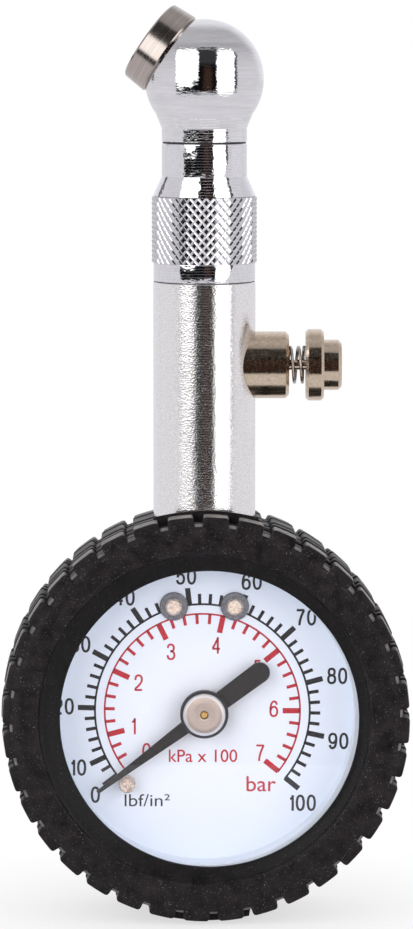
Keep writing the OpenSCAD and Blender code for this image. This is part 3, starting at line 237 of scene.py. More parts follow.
def nitrile_rubber():
    """Nitrile rubber, moulded: near-black and matt, finely grained, with specks of dust.

    The faces of the tread that point outwards are a dusty grey, part wear and part painted sheen. The lip
    band is painted darker, as shade in its recess, and has no specks.
    """
    made, tree, skin = surface("nitrile_rubber_moulded", Specular_IOR_Level=0.2)
    colour = finish(tree, skin, grain(tree, 2.4, 5.0), "#020101", "#231e21", 0.36, 0.56)
    speck = add(tree, "ShaderNodeMapRange",
                {"Value": grain(tree, 0.16, 1.0), "From Min": 0.69, "From Max": 0.77}).outputs["Result"]
    dusty = add(tree, "ShaderNodeMix", {"Factor": speck, "A": colour, "B": linear("#858183")},
                data_type="RGBA").outputs["Result"]
    out, radius = from_dial_axis(tree)
    # Painted shade: inside the crease the lip band is mixed towards near-black, and loses its specks
    clear_of_lip_shade = add(tree, "ShaderNodeMapRange",
                   {"Value": radius, "From Min": BOOT_LIP_R[0] * MM, "From Max": BOOT_LIP_R[1] * MM,
                    "To Min": 0.4, "To Max": 1.0}).outputs["Result"]
    moulded = add(tree, "ShaderNodeMix", {"Factor": clear_of_lip_shade, "A": linear("#030303"), "B": dusty},
                  data_type="RGBA").outputs["Result"]
    # The dusty grey on the tread's outward faces: part wear, part painted sheen
    whole = add(tree, "ShaderNodeMix",
                {"Factor": wear_and_sheen_share(tree, out, radius), "A": moulded, "B": linear("#86827f")},
                data_type="RGBA").outputs["Result"]
    tree.links.new(whole, skin.inputs["Base Color"])
    bump = add(tree, "ShaderNodeBump",
               {"Height": grain(tree, 0.22, 2.0), "Distance": 0.02 * MM, "Strength": 0.5})
    tree.links.new(bump.outputs["Normal"], skin.inputs["Normal"])
    return made


def turned_aluminium():
    """Aluminium tube, turned to a satin finish: fine rings and a sparkle that break up a reflection."""
    made, tree, skin = surface("aluminium_turned_satin", Metallic=1.0)
    sparkle = grain(tree, 0.33, 2.0, (1, 1, 1.3))
    steps = add(tree, "ShaderNodeMath", {0: sparkle, 1: 0.032, 2: feed_marks(tree, 0.25, 4.6, 0.1)},
                operation="MULTIPLY_ADD").outputs[0]
    rings = lathe_lines(tree, (0, 0, 0), (0, 0, 1), 0.13)
    height = add(tree, "ShaderNodeMath", {0: rings, 1: 0.005, 2: steps}, operation="MULTIPLY_ADD")
    finish(tree, skin, sparkle, "#ebe8e9", "#fdfbfb", 0.1, 0.17, 1.0, height.outputs[0])
    return made


def chromed_collar():
    """Brass, turned and bright chromium-plated: a mirror that still has the tool's fine steps in it."""
    made, tree, skin = surface("chromium_plate_bright", Metallic=1.0)
    finish(tree, skin, grain(tree, 0.7), "#e0dfe2", "#ecebee", 0.04, 0.09, 1.0,
           feed_marks(tree, 0.42, 12.0, 0.12))
    return made


def chromed_knurl():
    """Chromium plate over knurling: the plate is duller in the fine diamonds than on the turned steps."""
    return grained("chromium_plate_on_knurl", 0.5, "#cfced1", "#e2e1e4", 0.07, 0.12, 0.008, Metallic=1.0)


def chromed_ball():
    """Zinc casting, turned and chromium-plated: a mirror with faint streaks round the ball.

    The neck under the ball keeps the steps of the tool.
    """
    made, tree, skin = surface("chromium_plate_on_casting", Metallic=1.0)
    neck = add(tree, "ShaderNodeMapRange",
               {"Value": coordinate(tree, "Z"), "From Min": BALL_NECK_Z[0] * MM,
                "From Max": BALL_NECK_Z[1] * MM})
    steps = add(tree, "ShaderNodeMath", {0: feed_marks(tree, 0.42, 10.0, 0.3), 1: neck.outputs["Result"]},
                operation="MULTIPLY").outputs[0]
    ripple = grain(tree, 1.1, 2.5, (0.7, 0.7, 3.0))
    height = add(tree, "ShaderNodeMath", {0: ripple, 1: 0.035, 2: steps}, operation="MULTIPLY_ADD")
    streaks = grain(tree, 1.3, 2.5, (0.25, 0.25, 3.2))
    finish(tree, skin, streaks, "#dcdbdd", "#ebeaec", 0.05, 0.02, 1.0, height.outputs[0])
    return made


def satin_nickel():
    """Brass, turned and satin nickel-plated: a warm grey with fine lines round the ring."""
    made, tree, skin = surface("nickel_plate_satin", Metallic=1.0)
    finish(tree, skin, lathe_lines(tree, (0, 0, BALL_Z), nozzle_axis(), 0.18), "#a89e98", "#c3bab4",
           0.13, 0.19, 0.0018)
    return made


def champagne_nickel():
    """Brass, tumbled and bright nickel-plated: a pale gold, faintly pitted in its reflections."""
    return grained("nickel_plate_over_brass", 0.5, "#c6b29c", "#dfcfbb", 0.09, 0.2, 0.012, detail=5.0,
                   Metallic=1.0)


def turned_brass():
    """Brass, turned and pressed: yellow, with a slight tarnish."""
    return grained("brass_turned", 1.2, "#b98f4a", "#d6b26c", 0.2, 0.34, Metallic=1.0)


def phosphor_bronze():
    """Phosphor bronze, drawn and rolled: redder than brass, for the spring tube and hairspring."""
    return grained("phosphor_bronze_drawn", 1.6, "#a8703f", "#c99058", 0.22, 0.36, Metallic=1.0)


def spring_steel():
    """Spring steel wire, drawn and nickel-plated: bright, with faint marks of the die."""
    return grained("spring_steel_wire_drawn", 0.3, "#a7a5a3", "#cfccc8", 0.16, 0.28, Metallic=1.0)


def nickel_screw():
    """Brass screw, turned and nickel-plated: warm and bright, a little scuffed."""
    return grained("nickel_plated_screw_turned", 0.5, "#b49d8b", "#eadacb", 0.16, 0.36, 0.03, Metallic=1.0)


def zinc_washer():
    """Steel washer, stamped and zinc-plated: a dull grey with a touch of blue."""
    return grained("zinc_plated_steel_stamped", 0.5, "#56575b", "#7e7f85", 0.34, 0.46, Metallic=0.75)


def cap_nickel():
    """Brass cap, faced on the lathe and nickel-plated: a satin face in rings, and a bright-cut edge."""
    made, tree, skin = surface("nickel_plate_faced", Metallic=1.0)
    face = finish(tree, skin, lathe_lines(tree, (0, 0, DIAL_Z), (0, 1, 0), 0.16), "#ab9b92", "#c7b8ad",
                  0.24, 0.36, 0.0012)
    edge = add(tree, "ShaderNodeMapRange",
               {"Value": from_dial_axis(tree)[1], "From Min": CAP_EDGE_R[0] * MM,
                "From Max": CAP_EDGE_R[1] * MM}).outputs["Result"]
    cut = add(tree, "ShaderNodeMix", {"Factor": edge, "A": face, "B": linear("#fdf8f4")}, data_type="RGBA")
    tree.links.new(cut.outputs["Result"], skin.inputs["Base Color"])
    return made


def painted(name, dark, light, roughness):
    """Sheet metal, sprayed: an even coat with a faint orange-peel."""
    return grained(name, 0.7, dark, light, roughness - 0.05, roughness + 0.06, 0.003,
                   Specular_IOR_Level=0.2)


def moulded_acetal():
    """Acetal, moulded: black with a soft sheen and a faint flow of the mould."""
    return grained("acetal_moulded_black", 0.9, "#131214", "#1c1b1e", 0.28, 0.36, Specular_IOR_Level=0.35)


def dial_enamel():
    """Aluminium dial, white enamel: an even white, with painted shade that turns it a pale blue towards the
    rim.
    """
    made, tree, skin = surface("white_enamel_on_aluminium", Roughness=0.5, Specular_IOR_Level=0.3)
    # Painted shade: the colour darkens to a pale blue with the distance from the dial's axis
    share = add(tree, "ShaderNodeMath", {0: from_dial_axis(tree)[1], 1: 30 * MM}, operation="DIVIDE")
    cloudy = add(tree, "ShaderNodeMath", {0: grain(tree, 9.0), 1: 0.12, 2: share.outputs[0]},
                 operation="MULTIPLY_ADD")
    colour = add(tree, "ShaderNodeValToRGB", {"Fac": cloudy.outputs[0]},
                 stops=[(0.15, linear("#f8fbfe")), (0.55, linear("#f0f6fc")), (0.9, linear("#e6eff8"))])
    tree.links.new(colour.outputs["Color"], skin.inputs["Base Color"])
    bump = add(tree, "ShaderNodeBump",
               {"Height": grain(tree, 0.5, 2.0), "Distance": 0.001 * MM, "Strength": 0.5})
    tree.links.new(bump.outputs["Normal"], skin.inputs["Normal"])
    return made


def printed_ink(name, dark, light):
    """Pad-printed ink: a thin, slightly uneven film."""
    return grained(name, 0.4, dark, light, 0.5, 0.65, Specular_IOR_Level=0.1)


def clear_polycarbonate():
    """Polycarbonate window, moulded: clear and glossy. It lets the light through to the dial."""
    made, tree, skin = surface("polycarbonate_clear", Roughness=0.0, IOR=1.5, Transmission_Weight=1.0,
                               Specular_IOR_Level=0.05, Base_Color=linear("#fefdff"))
    path = add(tree, "ShaderNodeLightPath").outputs
    soft = add(tree, "ShaderNodeMath", {0: path["Is Shadow Ray"], 1: path["Is Diffuse Ray"]},
               operation="MAXIMUM").outputs[0]
    open_way = add(tree, "ShaderNodeBsdfTransparent", {"Color": linear("#fbfbfe")}).outputs[0]
    both = add(tree, "ShaderNodeMixShader", {0: soft, 1: skin.outputs[0], 2: open_way})
    tree.links.new(both.outputs[0], tree.nodes["Material Output"].inputs["Surface"])
    return made


def seal_rubber():
    """Nitrile rubber seal, moulded: black with a light sheen of grease."""
    return grained("nitrile_rubber_seal", 0.5, "#151415", "#232122", 0.32, 0.5)


def nozzle_axis():
    """The direction in which the nozzle points."""
    return (-math.cos(NOZZLE_RISE) * math.cos(NOZZLE_TURN),
            math.cos(NOZZLE_RISE) * math.sin(NOZZLE_TURN), math.sin(NOZZLE_RISE))


def dress(names, material):
    """Gives these CAD nodes a material, through their material slots."""
    for name in names:
        piece = nodes[name]
        if not piece.material_slots:
            piece.data.materials.append(material)
        for slot in piece.material_slots:
            slot.material = material


# ------------------------------------------------------------------ meshes

def new_piece(name, verts, faces, material, body, smooth_deg):
    """A mesh piece placed in the world, smooth but for edges sharper than that, which rides on a body."""
    mesh = bpy.data.meshes.new(name)
    mesh.from_pydata([tuple(v) for v in verts], [], faces)
    tidy = bmesh.new()
    tidy.from_mesh(mesh)
    bmesh.ops.remove_doubles(tidy, verts=tidy.verts, dist=0.0002 * MM)
    bmesh.ops.dissolve_degenerate(tidy, edges=tidy.edges, dist=0.0001 * MM)
    bmesh.ops.recalc_face_normals(tidy, faces=tidy.faces)
    tidy.to_mesh(mesh)
    tidy.free()
    mesh.polygons.foreach_set("use_smooth", [True] * len(mesh.polygons))
    mesh.set_sharp_from_angle(angle=math.radians(smooth_deg))
    mesh.materials.append(material)
    piece = bpy.data.objects.new(name, mesh)
    bpy.context.scene.collection.objects.link(piece)
    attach(piece, body)
    return piece


def closed_grid(rows, columns):
    """Quads over a grid that closes on itself both ways, like a ring's skin."""
    return [(i * columns + j, i * columns + (j + 1) % columns,
             (i + 1) % rows * columns + (j + 1) % columns, (i + 1) % rows * columns + j)
            for i in range(rows) for j in range(columns)]


def on_stem(right, back, up):
    """A place in the world, from mm right of, behind and up the stem's axis."""
    return right * MM, back * MM, up * MM


def on_dial(right, up, back):
    """A place in the world, from mm right of, above and behind the middle of the dial's axis."""
    return right * MM, back * MM, DIAL_Z + up * MM


def turned(name, material, section, place, around, body, smooth_deg):
    """A piece turned from a section of (radius, run) in mm, on the axis of `place`, with `around` sides."""
    turns = np.linspace(0, 2 * np.pi, around, endpoint=False)
    verts = [place(r * math.cos(t), r * math.sin(t), run) for r, run in section for t in turns]
    return new_piece(name, verts, closed_grid(len(section), around), material, body, smooth_deg)


# The boot, in mm and degrees. Its section runs from the mid-plane out over the tread and in to the lip,
# in width w and radius r. Directions are counted from the right, round to the top. The pad is what it
# stands on, the dam is the lip of rubber before the stem, and at the swell the shoulders bulge.
HALF_WIDTH = node_box("tyre_boot")[1][Y]
BLOCKS, BLOCK_PHASE = 36, 2.2
PITCH = 360 / BLOCKS

# Rows, grooves and shoulders: how high they are, and the widths where their walls stand
TREAD_R, GROOVE_R, GROOVE_FOOT = 30.8, 29.8, 0.12
SHOULDER_R, SHOULDER_EDGE_R, SHOULDER_FALL, SHOULDER_CORNER = 30.62, 30.52, 0.1 / 3.4, 0.2
CENTRE_HALF, RIB_IN, RIB_OUT, SHOULDER_IN, SHOULDER_OUT = 2.4, 4.3, 6.2, 8.18, 11.5
EDGE = 0.3

# Notches between the blocks: their floors, how they run out in the sidewall, and their walls and brows
ROW_NOTCH_R, SHOULDER_NOTCH_R, WALL_NOTCH, WALL_NOTCH_END_R = 29.95, 29.55, 0.85, 28.4
NOTCH_RUNOUT_W, NOTCH_RUNOUT = 11.0, 0.75
NOTCH_AT_R, NOTCH_HALF, NOTCH_WALL, NOTCH_WALL_SHARE, NOTCH_BROW = 30.6, 0.6, 0.1, 0.62, 0.5

# Where the boot isn't an even ring: pad, dam and swell, a narrower back, an offset, and an uneven lip
PAD_DIR, PAD_HALF, PAD_R, PAD_RAMP = 269.5, 13.5, 31.0, 0.25
DAM_DIR, DAM_HALF, DAM_R, DAM_FROM_W = 90, 15.5, 31.3, 7.9
SWELL_DIR, SWELL_SPREAD, SWELL = 105, 38, 0.3
BACK_TAPER, TAPER_FROM_W, TAPER_FROM_R, TAPER_REACH = 0.025, 2.0, 28.0, 1.5
BOOT_X, BOOT_SKEW, BOOT_DROP, BOOT_FRONT_RISE = 0.06, 0.02, 0.3, 0.1
LOOSE_FROM_R, LOOSE_REACH = 24.6, 3
LIP_R, LIP_X, LIP_DROP, LIP_EDGE_SHARE = 22.45, 0.78, 0.24, 0.6

# The hole for the stem, and how far above the dial's axis the cutter for it starts
STEM_HOLE_R, STEM_HOLE_FROM, STEM_HOLE_LONG = 7.75, 22, 30

# The bulging sidewall, the step at the lip's root, and the lip, which ends behind on the bezel
SIDEWALL = [(11.71, 29.7, "wall"), (11.75, 29.4, "wall"), (11.8, 29.0, "wall"), (11.87, 28.7, "wall"),
            (11.96, 28.3, "plain"), (HALF_WIDTH, 27.8, "plain"), (HALF_WIDTH, 27.2, "plain"),
            (HALF_WIDTH, 26.6, "plain"), (11.97, 26.3, "plain"), (11.94, 25.8, "plain"),
            (11.9, 25.3, "plain")]
LIP_STEP = [(11.87, 25.05, "plain"), (11.79, 24.93, "plain"), (11.62, 24.87, "plain"),
            (11.44, 24.82, "plain"), (11.32, 24.7, "plain")]
LIP = [(11.2, 24.4, "edge"), (11.0, 23.9, "edge"), (10.7, 23.2, "edge"), (10.38, LIP_R + 0.24, "lip"),
       (10.28, LIP_R + 0.1, "lip"), (10.15, LIP_R + 0.02, "lip"), (9.98, LIP_R, "lip"),
       (9.68, LIP_R, "lip"), (9.68, 23.4, "edge"), (9.68, 24.35, "plain")]


def rounded(distance, radius):
    """How far an edge rounded by that radius is below its flat, at a distance in from the edge."""
    inside = np.clip(distance / radius, 0, 1)
    return radius * (1 - np.sqrt(np.clip(1 - (1 - inside) ** 2, 0, 1)))


def block_edge(at, towards):
    """The rounded edge of a row of blocks, from its wall at width `at` in towards its middle."""
    return [(at + towards * EDGE * share, TREAD_R - rounded(EDGE * share, EDGE), "row")
            for share in (0.0, 0.06, 0.22, 0.5, 1.0)]


def groove(w_in, w_out, foot_out=GROOVE_FOOT):
    """The floor of a groove between two widths, a little higher at the foot of each wall."""
    return [(w_in + 0.05, GROOVE_R + GROOVE_FOOT, "floor"), (w_in + 0.2, GROOVE_R, "floor"),
            (w_out - 0.2, GROOVE_R, "floor"), (w_out - 0.05, GROOVE_R + foot_out, "floor")]


def shoulder():
    """The shoulder: a flat that falls a little outwards, with a rounded edge on both sides."""
    runs = (0.0, 0.02, 0.07, 0.14, 0.22, 0.82, 1.62, 2.42, 3.02, SHOULDER_OUT - SHOULDER_IN)
    flat = [(SHOULDER_IN + run, SHOULDER_R - SHOULDER_FALL * run - rounded(run, SHOULDER_CORNER),
             "shoulder") for run in runs]
    corner = [(SHOULDER_OUT + SHOULDER_CORNER * math.sin(math.radians(a)),
               SHOULDER_EDGE_R - SHOULDER_CORNER * (1 - math.cos(math.radians(a))), "shoulder")
              for a in (25, 50, 75)]
    return flat + corner


def half_section():
    """Points (w, r, kind) from the mid-plane to the lip: the kind says what a notch does to the point."""
    return ([(0.0, TREAD_R, "row"), (CENTRE_HALF * 0.5, TREAD_R, "row")] + block_edge(CENTRE_HALF, -1)[::-1]
            + groove(CENTRE_HALF, RIB_IN) + block_edge(RIB_IN, 1) + block_edge(RIB_OUT, -1)[::-1]
            + groove(RIB_OUT, SHOULDER_IN, 0.1) + shoulder() + SIDEWALL + LIP_STEP + LIP)


def notch_columns():
    """Directions of the section's copies round the boot, closer together at the notches' walls."""
    brow = [NOTCH_HALF + NOTCH_WALL + NOTCH_BROW * share for share in (0.0, 0.14, 0.36, 0.66, 1.0, 2.0)]
    wall = {0.0, 0.75 * NOTCH_HALF, NOTCH_HALF, *brow}
    offsets = sorted({-x for x in wall} | wall)
    columns = [BLOCK_PHASE + PITCH * i + math.degrees(x / NOTCH_AT_R)
               for i in range(BLOCKS) for x in offsets]
    columns += [BLOCK_PHASE + PITCH * (i + 0.5) for i in range(BLOCKS)]
    return np.array(sorted(c % 360 for c in columns))


def apart(angle, direction, turn=360):
    """How many degrees each angle is from a direction, or from the nearest one of a ring of them."""
    return np.abs((angle - direction + turn / 2) % turn - turn / 2)


def notch_height(angle):
    """From 0 at a notch's floor to 1 on a block, for each angle."""
    along = np.radians(apart(angle, BLOCK_PHASE, PITCH)) * NOTCH_AT_R
    wall = np.clip((along - NOTCH_HALF) / NOTCH_WALL, 0, 1) * NOTCH_WALL_SHARE
    top = NOTCH_HALF + NOTCH_WALL
    brow = rounded(np.clip(along - top, 0, 1), NOTCH_BROW) / NOTCH_BROW
    return np.where(along < top, wall, 1 - (1 - NOTCH_WALL_SHARE) * brow)


def boot_radius(w, r, kind, angle):
    """The radius of one point of the section at each angle, in mm."""
    cut = 1 - notch_height(angle)
    pad = np.clip((PAD_HALF - apart(angle, PAD_DIR)) * math.radians(PAD_R) / PAD_RAMP, 0, 1)
    dam = np.clip(DAM_HALF - np.abs(angle - DAM_DIR), 0, 1)
    cosine, sine = np.cos(np.radians(angle)), np.sin(np.radians(angle))
    radius = np.full(len(angle), r)
    if kind == "row":
        radius = np.maximum(r - cut * (TREAD_R - ROW_NOTCH_R), GROOVE_R + 0.02)
    elif kind == "shoulder":
        floor_r = SHOULDER_NOTCH_R - NOTCH_RUNOUT * max(w - NOTCH_RUNOUT_W, 0.0)
        radius = r - cut * max(r - floor_r, 0.0)
    elif kind == "wall":
        radius = r - cut * WALL_NOTCH * (r - WALL_NOTCH_END_R) / (SIDEWALL[0][1] - WALL_NOTCH_END_R)
    elif kind == "lip":
        middle = LIP_X * cosine - LIP_DROP * sine
        radius = middle + np.sqrt(LIP_R ** 2 - (LIP_X * sine + LIP_DROP * cosine) ** 2) + (r - LIP_R)
    elif kind == "edge":
        radius = r + LIP_EDGE_SHARE * (LIP_X * cosine - LIP_DROP * sine)
    if kind in ("shoulder", "wall") and w > 0:
        radius = radius + SWELL * np.exp(-((angle - SWELL_DIR) / SWELL_SPREAD) ** 2)
    if w < -TAPER_FROM_W:
        share = np.clip((radius - TAPER_FROM_R) / TAPER_REACH, 0, 1)
        radius = radius - BACK_TAPER * (-w - TAPER_FROM_W) * share
    if kind in ("row", "floor") and abs(w) < SHOULDER_IN - 0.03:
        radius = radius + pad * (PAD_R - radius)
    if kind == "floor" and w > DAM_FROM_W:
        radius = radius + dam * (DAM_R - radius)
    return radius


def boot_hole():
    """A cutter for the hole through which the stem enters the boot."""
    mesh = bpy.data.meshes.new("stem_hole")
    tool = bmesh.new()
    middle = Matrix.Translation(on_dial(0, STEM_HOLE_FROM + STEM_HOLE_LONG / 2, 0))
    bmesh.ops.create_cone(tool, segments=96, radius1=STEM_HOLE_R * MM, radius2=STEM_HOLE_R * MM,
                          depth=STEM_HOLE_LONG * MM, cap_ends=True, matrix=middle)
    tool.to_mesh(mesh)
    tool.free()
    cutter = bpy.data.objects.new("stem_hole", mesh)
    bpy.context.scene.collection.objects.link(cutter)
    return cutter


def tyre_boot(material):
    """The moulded boot: tread blocks, grooves, sidewalls and lips.

    It has a smooth pad where it stands, and a lip of rubber that rises before the stem. It sits a little
    off the dial's axis where it is loose, outside the case.
    """
    front = half_section()
    back = [(-w, r, "plain" if kind in ("lip", "edge") else kind) for w, r, kind in front[:0:-1]]
    section = front + back
    angle = notch_columns()
    cosine, sine = np.cos(np.radians(angle)), np.sin(np.radians(angle))
    verts = []
    for w, r, kind in section:
        radius = boot_radius(w, r, kind, angle)
        loose = np.clip((radius - LOOSE_FROM_R) / LOOSE_REACH, 0, 1)
        shift = (BOOT_X + BOOT_SKEW * w) * loose
        drop = (BOOT_DROP - BOOT_FRONT_RISE * max(w, 0) / HALF_WIDTH) * loose
        verts += list(np.stack([radius * cosine + shift, np.full(len(angle), -w),
                                radius * sine + DIAL_Z / MM - drop], axis=1) * MM)
    piece = new_piece("boot", verts, closed_grid(len(section), len(angle)), material, "gauge",
                      40)
    cutter = boot_hole()
    cut = piece.modifiers.new("stem_hole", "BOOLEAN")
    cut.object, cut.operation, cut.solver = cutter, "DIFFERENCE", "EXACT"
    graph = bpy.context.evaluated_depsgraph_get()
    whole = bpy.data.meshes.new_from_object(piece.evaluated_get(graph))
    piece.modifiers.clear()
    piece.data = whole
    bpy.data.objects.remove(cutter)
    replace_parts(piece, "tyre_boot")


def coil_spring(name, material, node, along, thick, active):
    """A wound spring with closed ends, which fills its CAD node's box along that axis, X or Z.

    It has that thickness of wire and that many active turns.
    """
    low, high = node_box(node)
    length = high[along] - low[along]
    radius = (high[Y] - low[Y]) / 2 - thick / 2
    dead, steps, sides, ease = 0.5, 40, 14, 4
    total = active + 2 * dead
    turn = np.linspace(0, total, int(total * steps) + 1)
    dead_rise = thick * 1.04
    pitch = (length - thick - 2 * dead * dead_rise) / active
    rise = np.where(turn < dead, turn * dead_rise,
                    np.where(turn > total - dead, length - thick - (total - turn) * dead_rise,
                             dead * dead_rise + (turn - dead) * pitch)) + thick / 2
    span = 2 * ease + 1
    rise = np.convolve(np.pad(rise, ease, "reflect", reflect_type="odd"), np.ones(span) / span, "valid")
    path = np.stack([radius * np.cos(2 * np.pi * turn), radius * np.sin(2 * np.pi * turn), rise], axis=1)
    ahead = np.gradient(path, axis=0)
    ahead /= np.linalg.norm(ahead, axis=1)[:, None]
    up = np.cross(path * [1, 1, 0] / radius, ahead)
    up /= np.linalg.norm(up, axis=1)[:, None]
    out = np.cross(ahead, up)
    verts, faces = [], []
    for p, u, o in zip(path, up, out):
        verts += [p + thick / 2 * (math.cos(a) * o + math.sin(a) * u)
                  for a in np.linspace(0, 2 * np.pi, sides, endpoint=False)]
    for i in range(len(path) - 1):
        faces += [(i * sides + k, i * sides + (k + 1) % sides,
                   (i + 1) * sides + (k + 1) % sides, (i + 1) * sides + k) for k in range(sides)]
    last = (len(path) - 1) * sides
    faces += [tuple(range(sides))[::-1], tuple(range(last, last + sides))]
    foot = spring_foot(node, along)
    to_world = Matrix.Translation(foot) @ Matrix.Rotation(math.pi / 2 if along == X else 0, 4, "Y")
    verts = [to_world @ Vector(v * MM) for v in np.array(verts)]
    piece = new_piece(name, verts, faces, material, "gauge", 50)
    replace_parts(piece, node)
    return piece


def spring_foot(node, along):
    """The middle of the end of a spring's box that stays where it is."""
    low, high = node_box(node)
    middle = [(a + b) / 2 * MM for a, b in zip(low, high)]
    middle[along] = low[along] * MM
    return tuple(middle)


# The collar's knurl, in mm: its ends up the stem, how many diamonds there are, and their forms
KNURL_LOW, KNURL_HIGH = 99.2, 109.1
KNURL_AROUND, KNURL_UP = 41, 7
LAND_R, GROOVE_LOW_R, KNURL_CORE_R = 7.86, 7.75, 7.3
LAND, LAND_LEAN = 0.6, 0.07


def collar_body(material):
    """The collar without its knurl: threaded foot, band, cone and neck, with their edges just broken."""
    foot, top = (corner[Z] for corner in node_box("knurled_collar"))
    band = node_box("stem_tube")[1][Z]
    clip = node_box("swivel_clip")[1][Z] + 0.1
    section = [(4.05, foot), (4.7, foot), (5.0, foot + 0.3), (5.0, band), (7.45, band), (7.54, band + 0.04),
               (7.61, band + 0.12), (7.65, band + 0.22), (7.65, KNURL_LOW - 0.2), (7.62, KNURL_LOW - 0.08),
               (7.55, KNURL_LOW), (7.35, KNURL_LOW), (7.35, KNURL_HIGH), (7.6, KNURL_HIGH),
               (7.7, KNURL_HIGH + 0.04), (7.72, KNURL_HIGH + 0.1), (6.44, 112.05), (6.4, 112.15),
               (6.4, top - 0.25), (6.36, top - 0.12), (6.28, top - 0.04), (6.2, top), (3.45, top),
               (3.45, clip), (4.05, clip)]
    return turned("collar_turned", material, section, on_stem, 144, "gauge", 20)


def knurl_skin(material):
    """The collar's diamond knurl: flat-topped diamonds between two flights of V-grooves."""
    verts, faces, index = [], [], {}

    def point(a, v, r):
        """A point at a diamonds round and v diamonds up, made once."""
        key = (round(a * 1000) % (KNURL_AROUND * 1000), round(v * 1000), r)
        if key not in index:
            turn = 2 * math.pi * a / KNURL_AROUND
            up = KNURL_LOW + (KNURL_HIGH - KNURL_LOW) * v / KNURL_UP
            index[key] = len(verts)
            verts.append(on_stem(r * math.cos(turn), r * math.sin(turn), up))
        return index[key]

    for j in range(2 * KNURL_UP + 1):
        halves = [side for side, room in ((1, j < 2 * KNURL_UP), (-1, j > 0)) if room]
        for i in range(KNURL_AROUND):
            a, v = i + 0.5 * ((j + 1) % 2), j / 2
            left, right = point(a - 0.5, v, GROOVE_LOW_R), point(a + 0.5, v, GROOVE_LOW_R)
            flat_left, flat_right = point(a - 0.5 * LAND, v, LAND_R), point(a + 0.5 * LAND, v, LAND_R)
            middle = point(a, v, LAND_R)
            for side in halves:
                tip = point(a, v + 0.5 * side, GROOVE_LOW_R)
                top = point(a, v + 0.5 * LAND * side, LAND_R + LAND_LEAN * side)
                faces += [(middle, flat_right, top), (middle, top, flat_left),
                          (flat_right, right, tip, top), (flat_left, top, tip, left)]
            if len(halves) == 1:
                faces.append((left, flat_left, middle, flat_right, right))
    ends = (0, KNURL_UP)
    rings = [[point(i, v, GROOVE_LOW_R) for i in range(KNURL_AROUND)] for v in ends]
    inner = [[point(i, v, KNURL_CORE_R) for i in range(KNURL_AROUND)] for v in ends]
    for a, b in ((rings[0], inner[0]), (rings[1], inner[1]), inner):
        faces += [(a[i], b[i], b[i - 1], a[i - 1]) for i in range(KNURL_AROUND)]
    return new_piece("collar_knurl", verts, faces, material, "gauge", 12)


def turned_cap(material):
    """The pointer's cap: a faced disc with a sloping shoulder, and a hole where the arbor's end shows."""
    section = [(0.60, 1.25), (0.60, 0.10), (0.66, 0.02), (0.80, 0.0), (0.84, 0.03), (0.90, 0.03),
               (1.7, 0.01), (2.68, 0.0), (2.74, 0.01), (2.80, 0.05), (3.12, 0.29), (3.18, 0.37),
               (3.2, 0.46), (3.2, 1.25)]
    return turned("pointer_cap_turned", material, [(r, CAP_FRONT + depth) for r, depth in section], on_dial,
                  120, "pointer", 25)


def arbor_end(material):
    """The domed end of the pointer's arbor, with the centre hole from the lathe."""
    section = [(0.17, 0.9), (0.17, 0.16), (0.24, 0.07), (0.34, 0.05), (0.46, 0.10), (0.54, 0.19),
               (0.57, 0.30), (0.58, 0.9)]
    turned("pinion_arbor_end", material, [(r, CAP_FRONT + depth) for r, depth in section], on_dial,
           120, "pointer", 40)


def dial_ring(material):
    """The white ring between the dial and the window, with a thin flange on the case's rim."""
    section = [(22.64, -3.5), (22.64, -8.02), (22.7, -8.11), (23.62, -8.11), (23.62, -8.085),
               (22.9, -8.085), (22.9, -3.5)]
    turned("dial_ring", material, section, on_dial, 120, "gauge", 30)


def turned_bezel(material):
    """The steel bezel that holds the window: a rolled ring with a soft front edge."""
    low, high = node_box("bezel_ring")
    rim, back, front = high[X], high[Y], low[Y]
    section = [(24.0, back), (rim, back), (rim, front + 0.23), (24.24, front + 0.08), (24.1, front + 0.01),
               (23.6, front), (23.5, front + 0.05), (23.46, front + 0.15), (23.46, front + 0.3),
               (24.0, front + 0.3)]
    return turned("bezel_rolled", material, section, on_dial, 120, "gauge", 40)


def gap_shade_ring(name, material, radius, inner, low, high):
    """A dark ring with a rounded face in the fine gap between two turned parts: painted shade of the gap.
    """
    section = [(inner, low), (radius - 0.03, low), (radius, (low * 2 + high) / 3),
               (radius, (low + high * 2) / 3), (radius - 0.03, high), (inner, high)]
    turned(name, material, section, on_stem, 96, "gauge", 50)


# ------------------------------------------------------------------ dial print

# The print's middle, a little off the dial's axis, and how far it stands off the dial and sinks in, in mm
PRINT_X, PRINT_UP = -0.3, 0.13
PRINT_T, PRINT_SUNK = 0.012, 0.004

# The scales, in mm and in degrees round from the right: one value's direction and the degrees for each
# unit, the arc and how far it runs past the ends, and the foot and the (radius, width) of the marks
PSI_TEN_DIR, PSI_STEP, PSI_ZERO_DIR = 205.7, 2.722, 217.4
PSI_ARC_R, PSI_ARC_W, PSI_ARC_DIR, PSI_ARC_PAST = 16.26, 0.3, 219.6, 0.4
PSI_FOOT_R, PSI_LONG, PSI_SHORT = 16.2, (18.85, 0.8), (17.85, 0.5)
BAR_ONE_DIR, BAR_STEP = 194.3, 38.86
BAR_ARC_R, BAR_ARC_W, BAR_ARC_DIR, BAR_ARC_PAST = 14.79, 0.27, 217.5, 0.5
BAR_FOOT_R, BAR_LONG, BAR_SHORT = 14.8, (12.17, 0.82), (13.26, 0.48)


def smooth_path(points, closed):
    """A smooth line through the points."""
    count, steps = len(points), 6
    line = []
    for i in range(count if closed else count - 1):
        if closed:
            p = [points[(i + k) % count] for k in (-1, 0, 1, 2)]
        else:
            p = [points[min(max(i + k, 0), count - 1)] for k in (-1, 0, 1, 2)]
        p = np.array(p, float)
        bend, turn = 2 * p[0] - 5 * p[1] + 4 * p[2] - p[3], 3 * p[1] - p[0] - 3 * p[2] + p[3]
        line += [0.5 * (2 * p[1] + (p[2] - p[0]) * t + bend * t ** 2 + turn * t ** 3)
                 for t in np.arange(steps) / steps]
    return line if closed else line + [np.array(points[-1], float)]


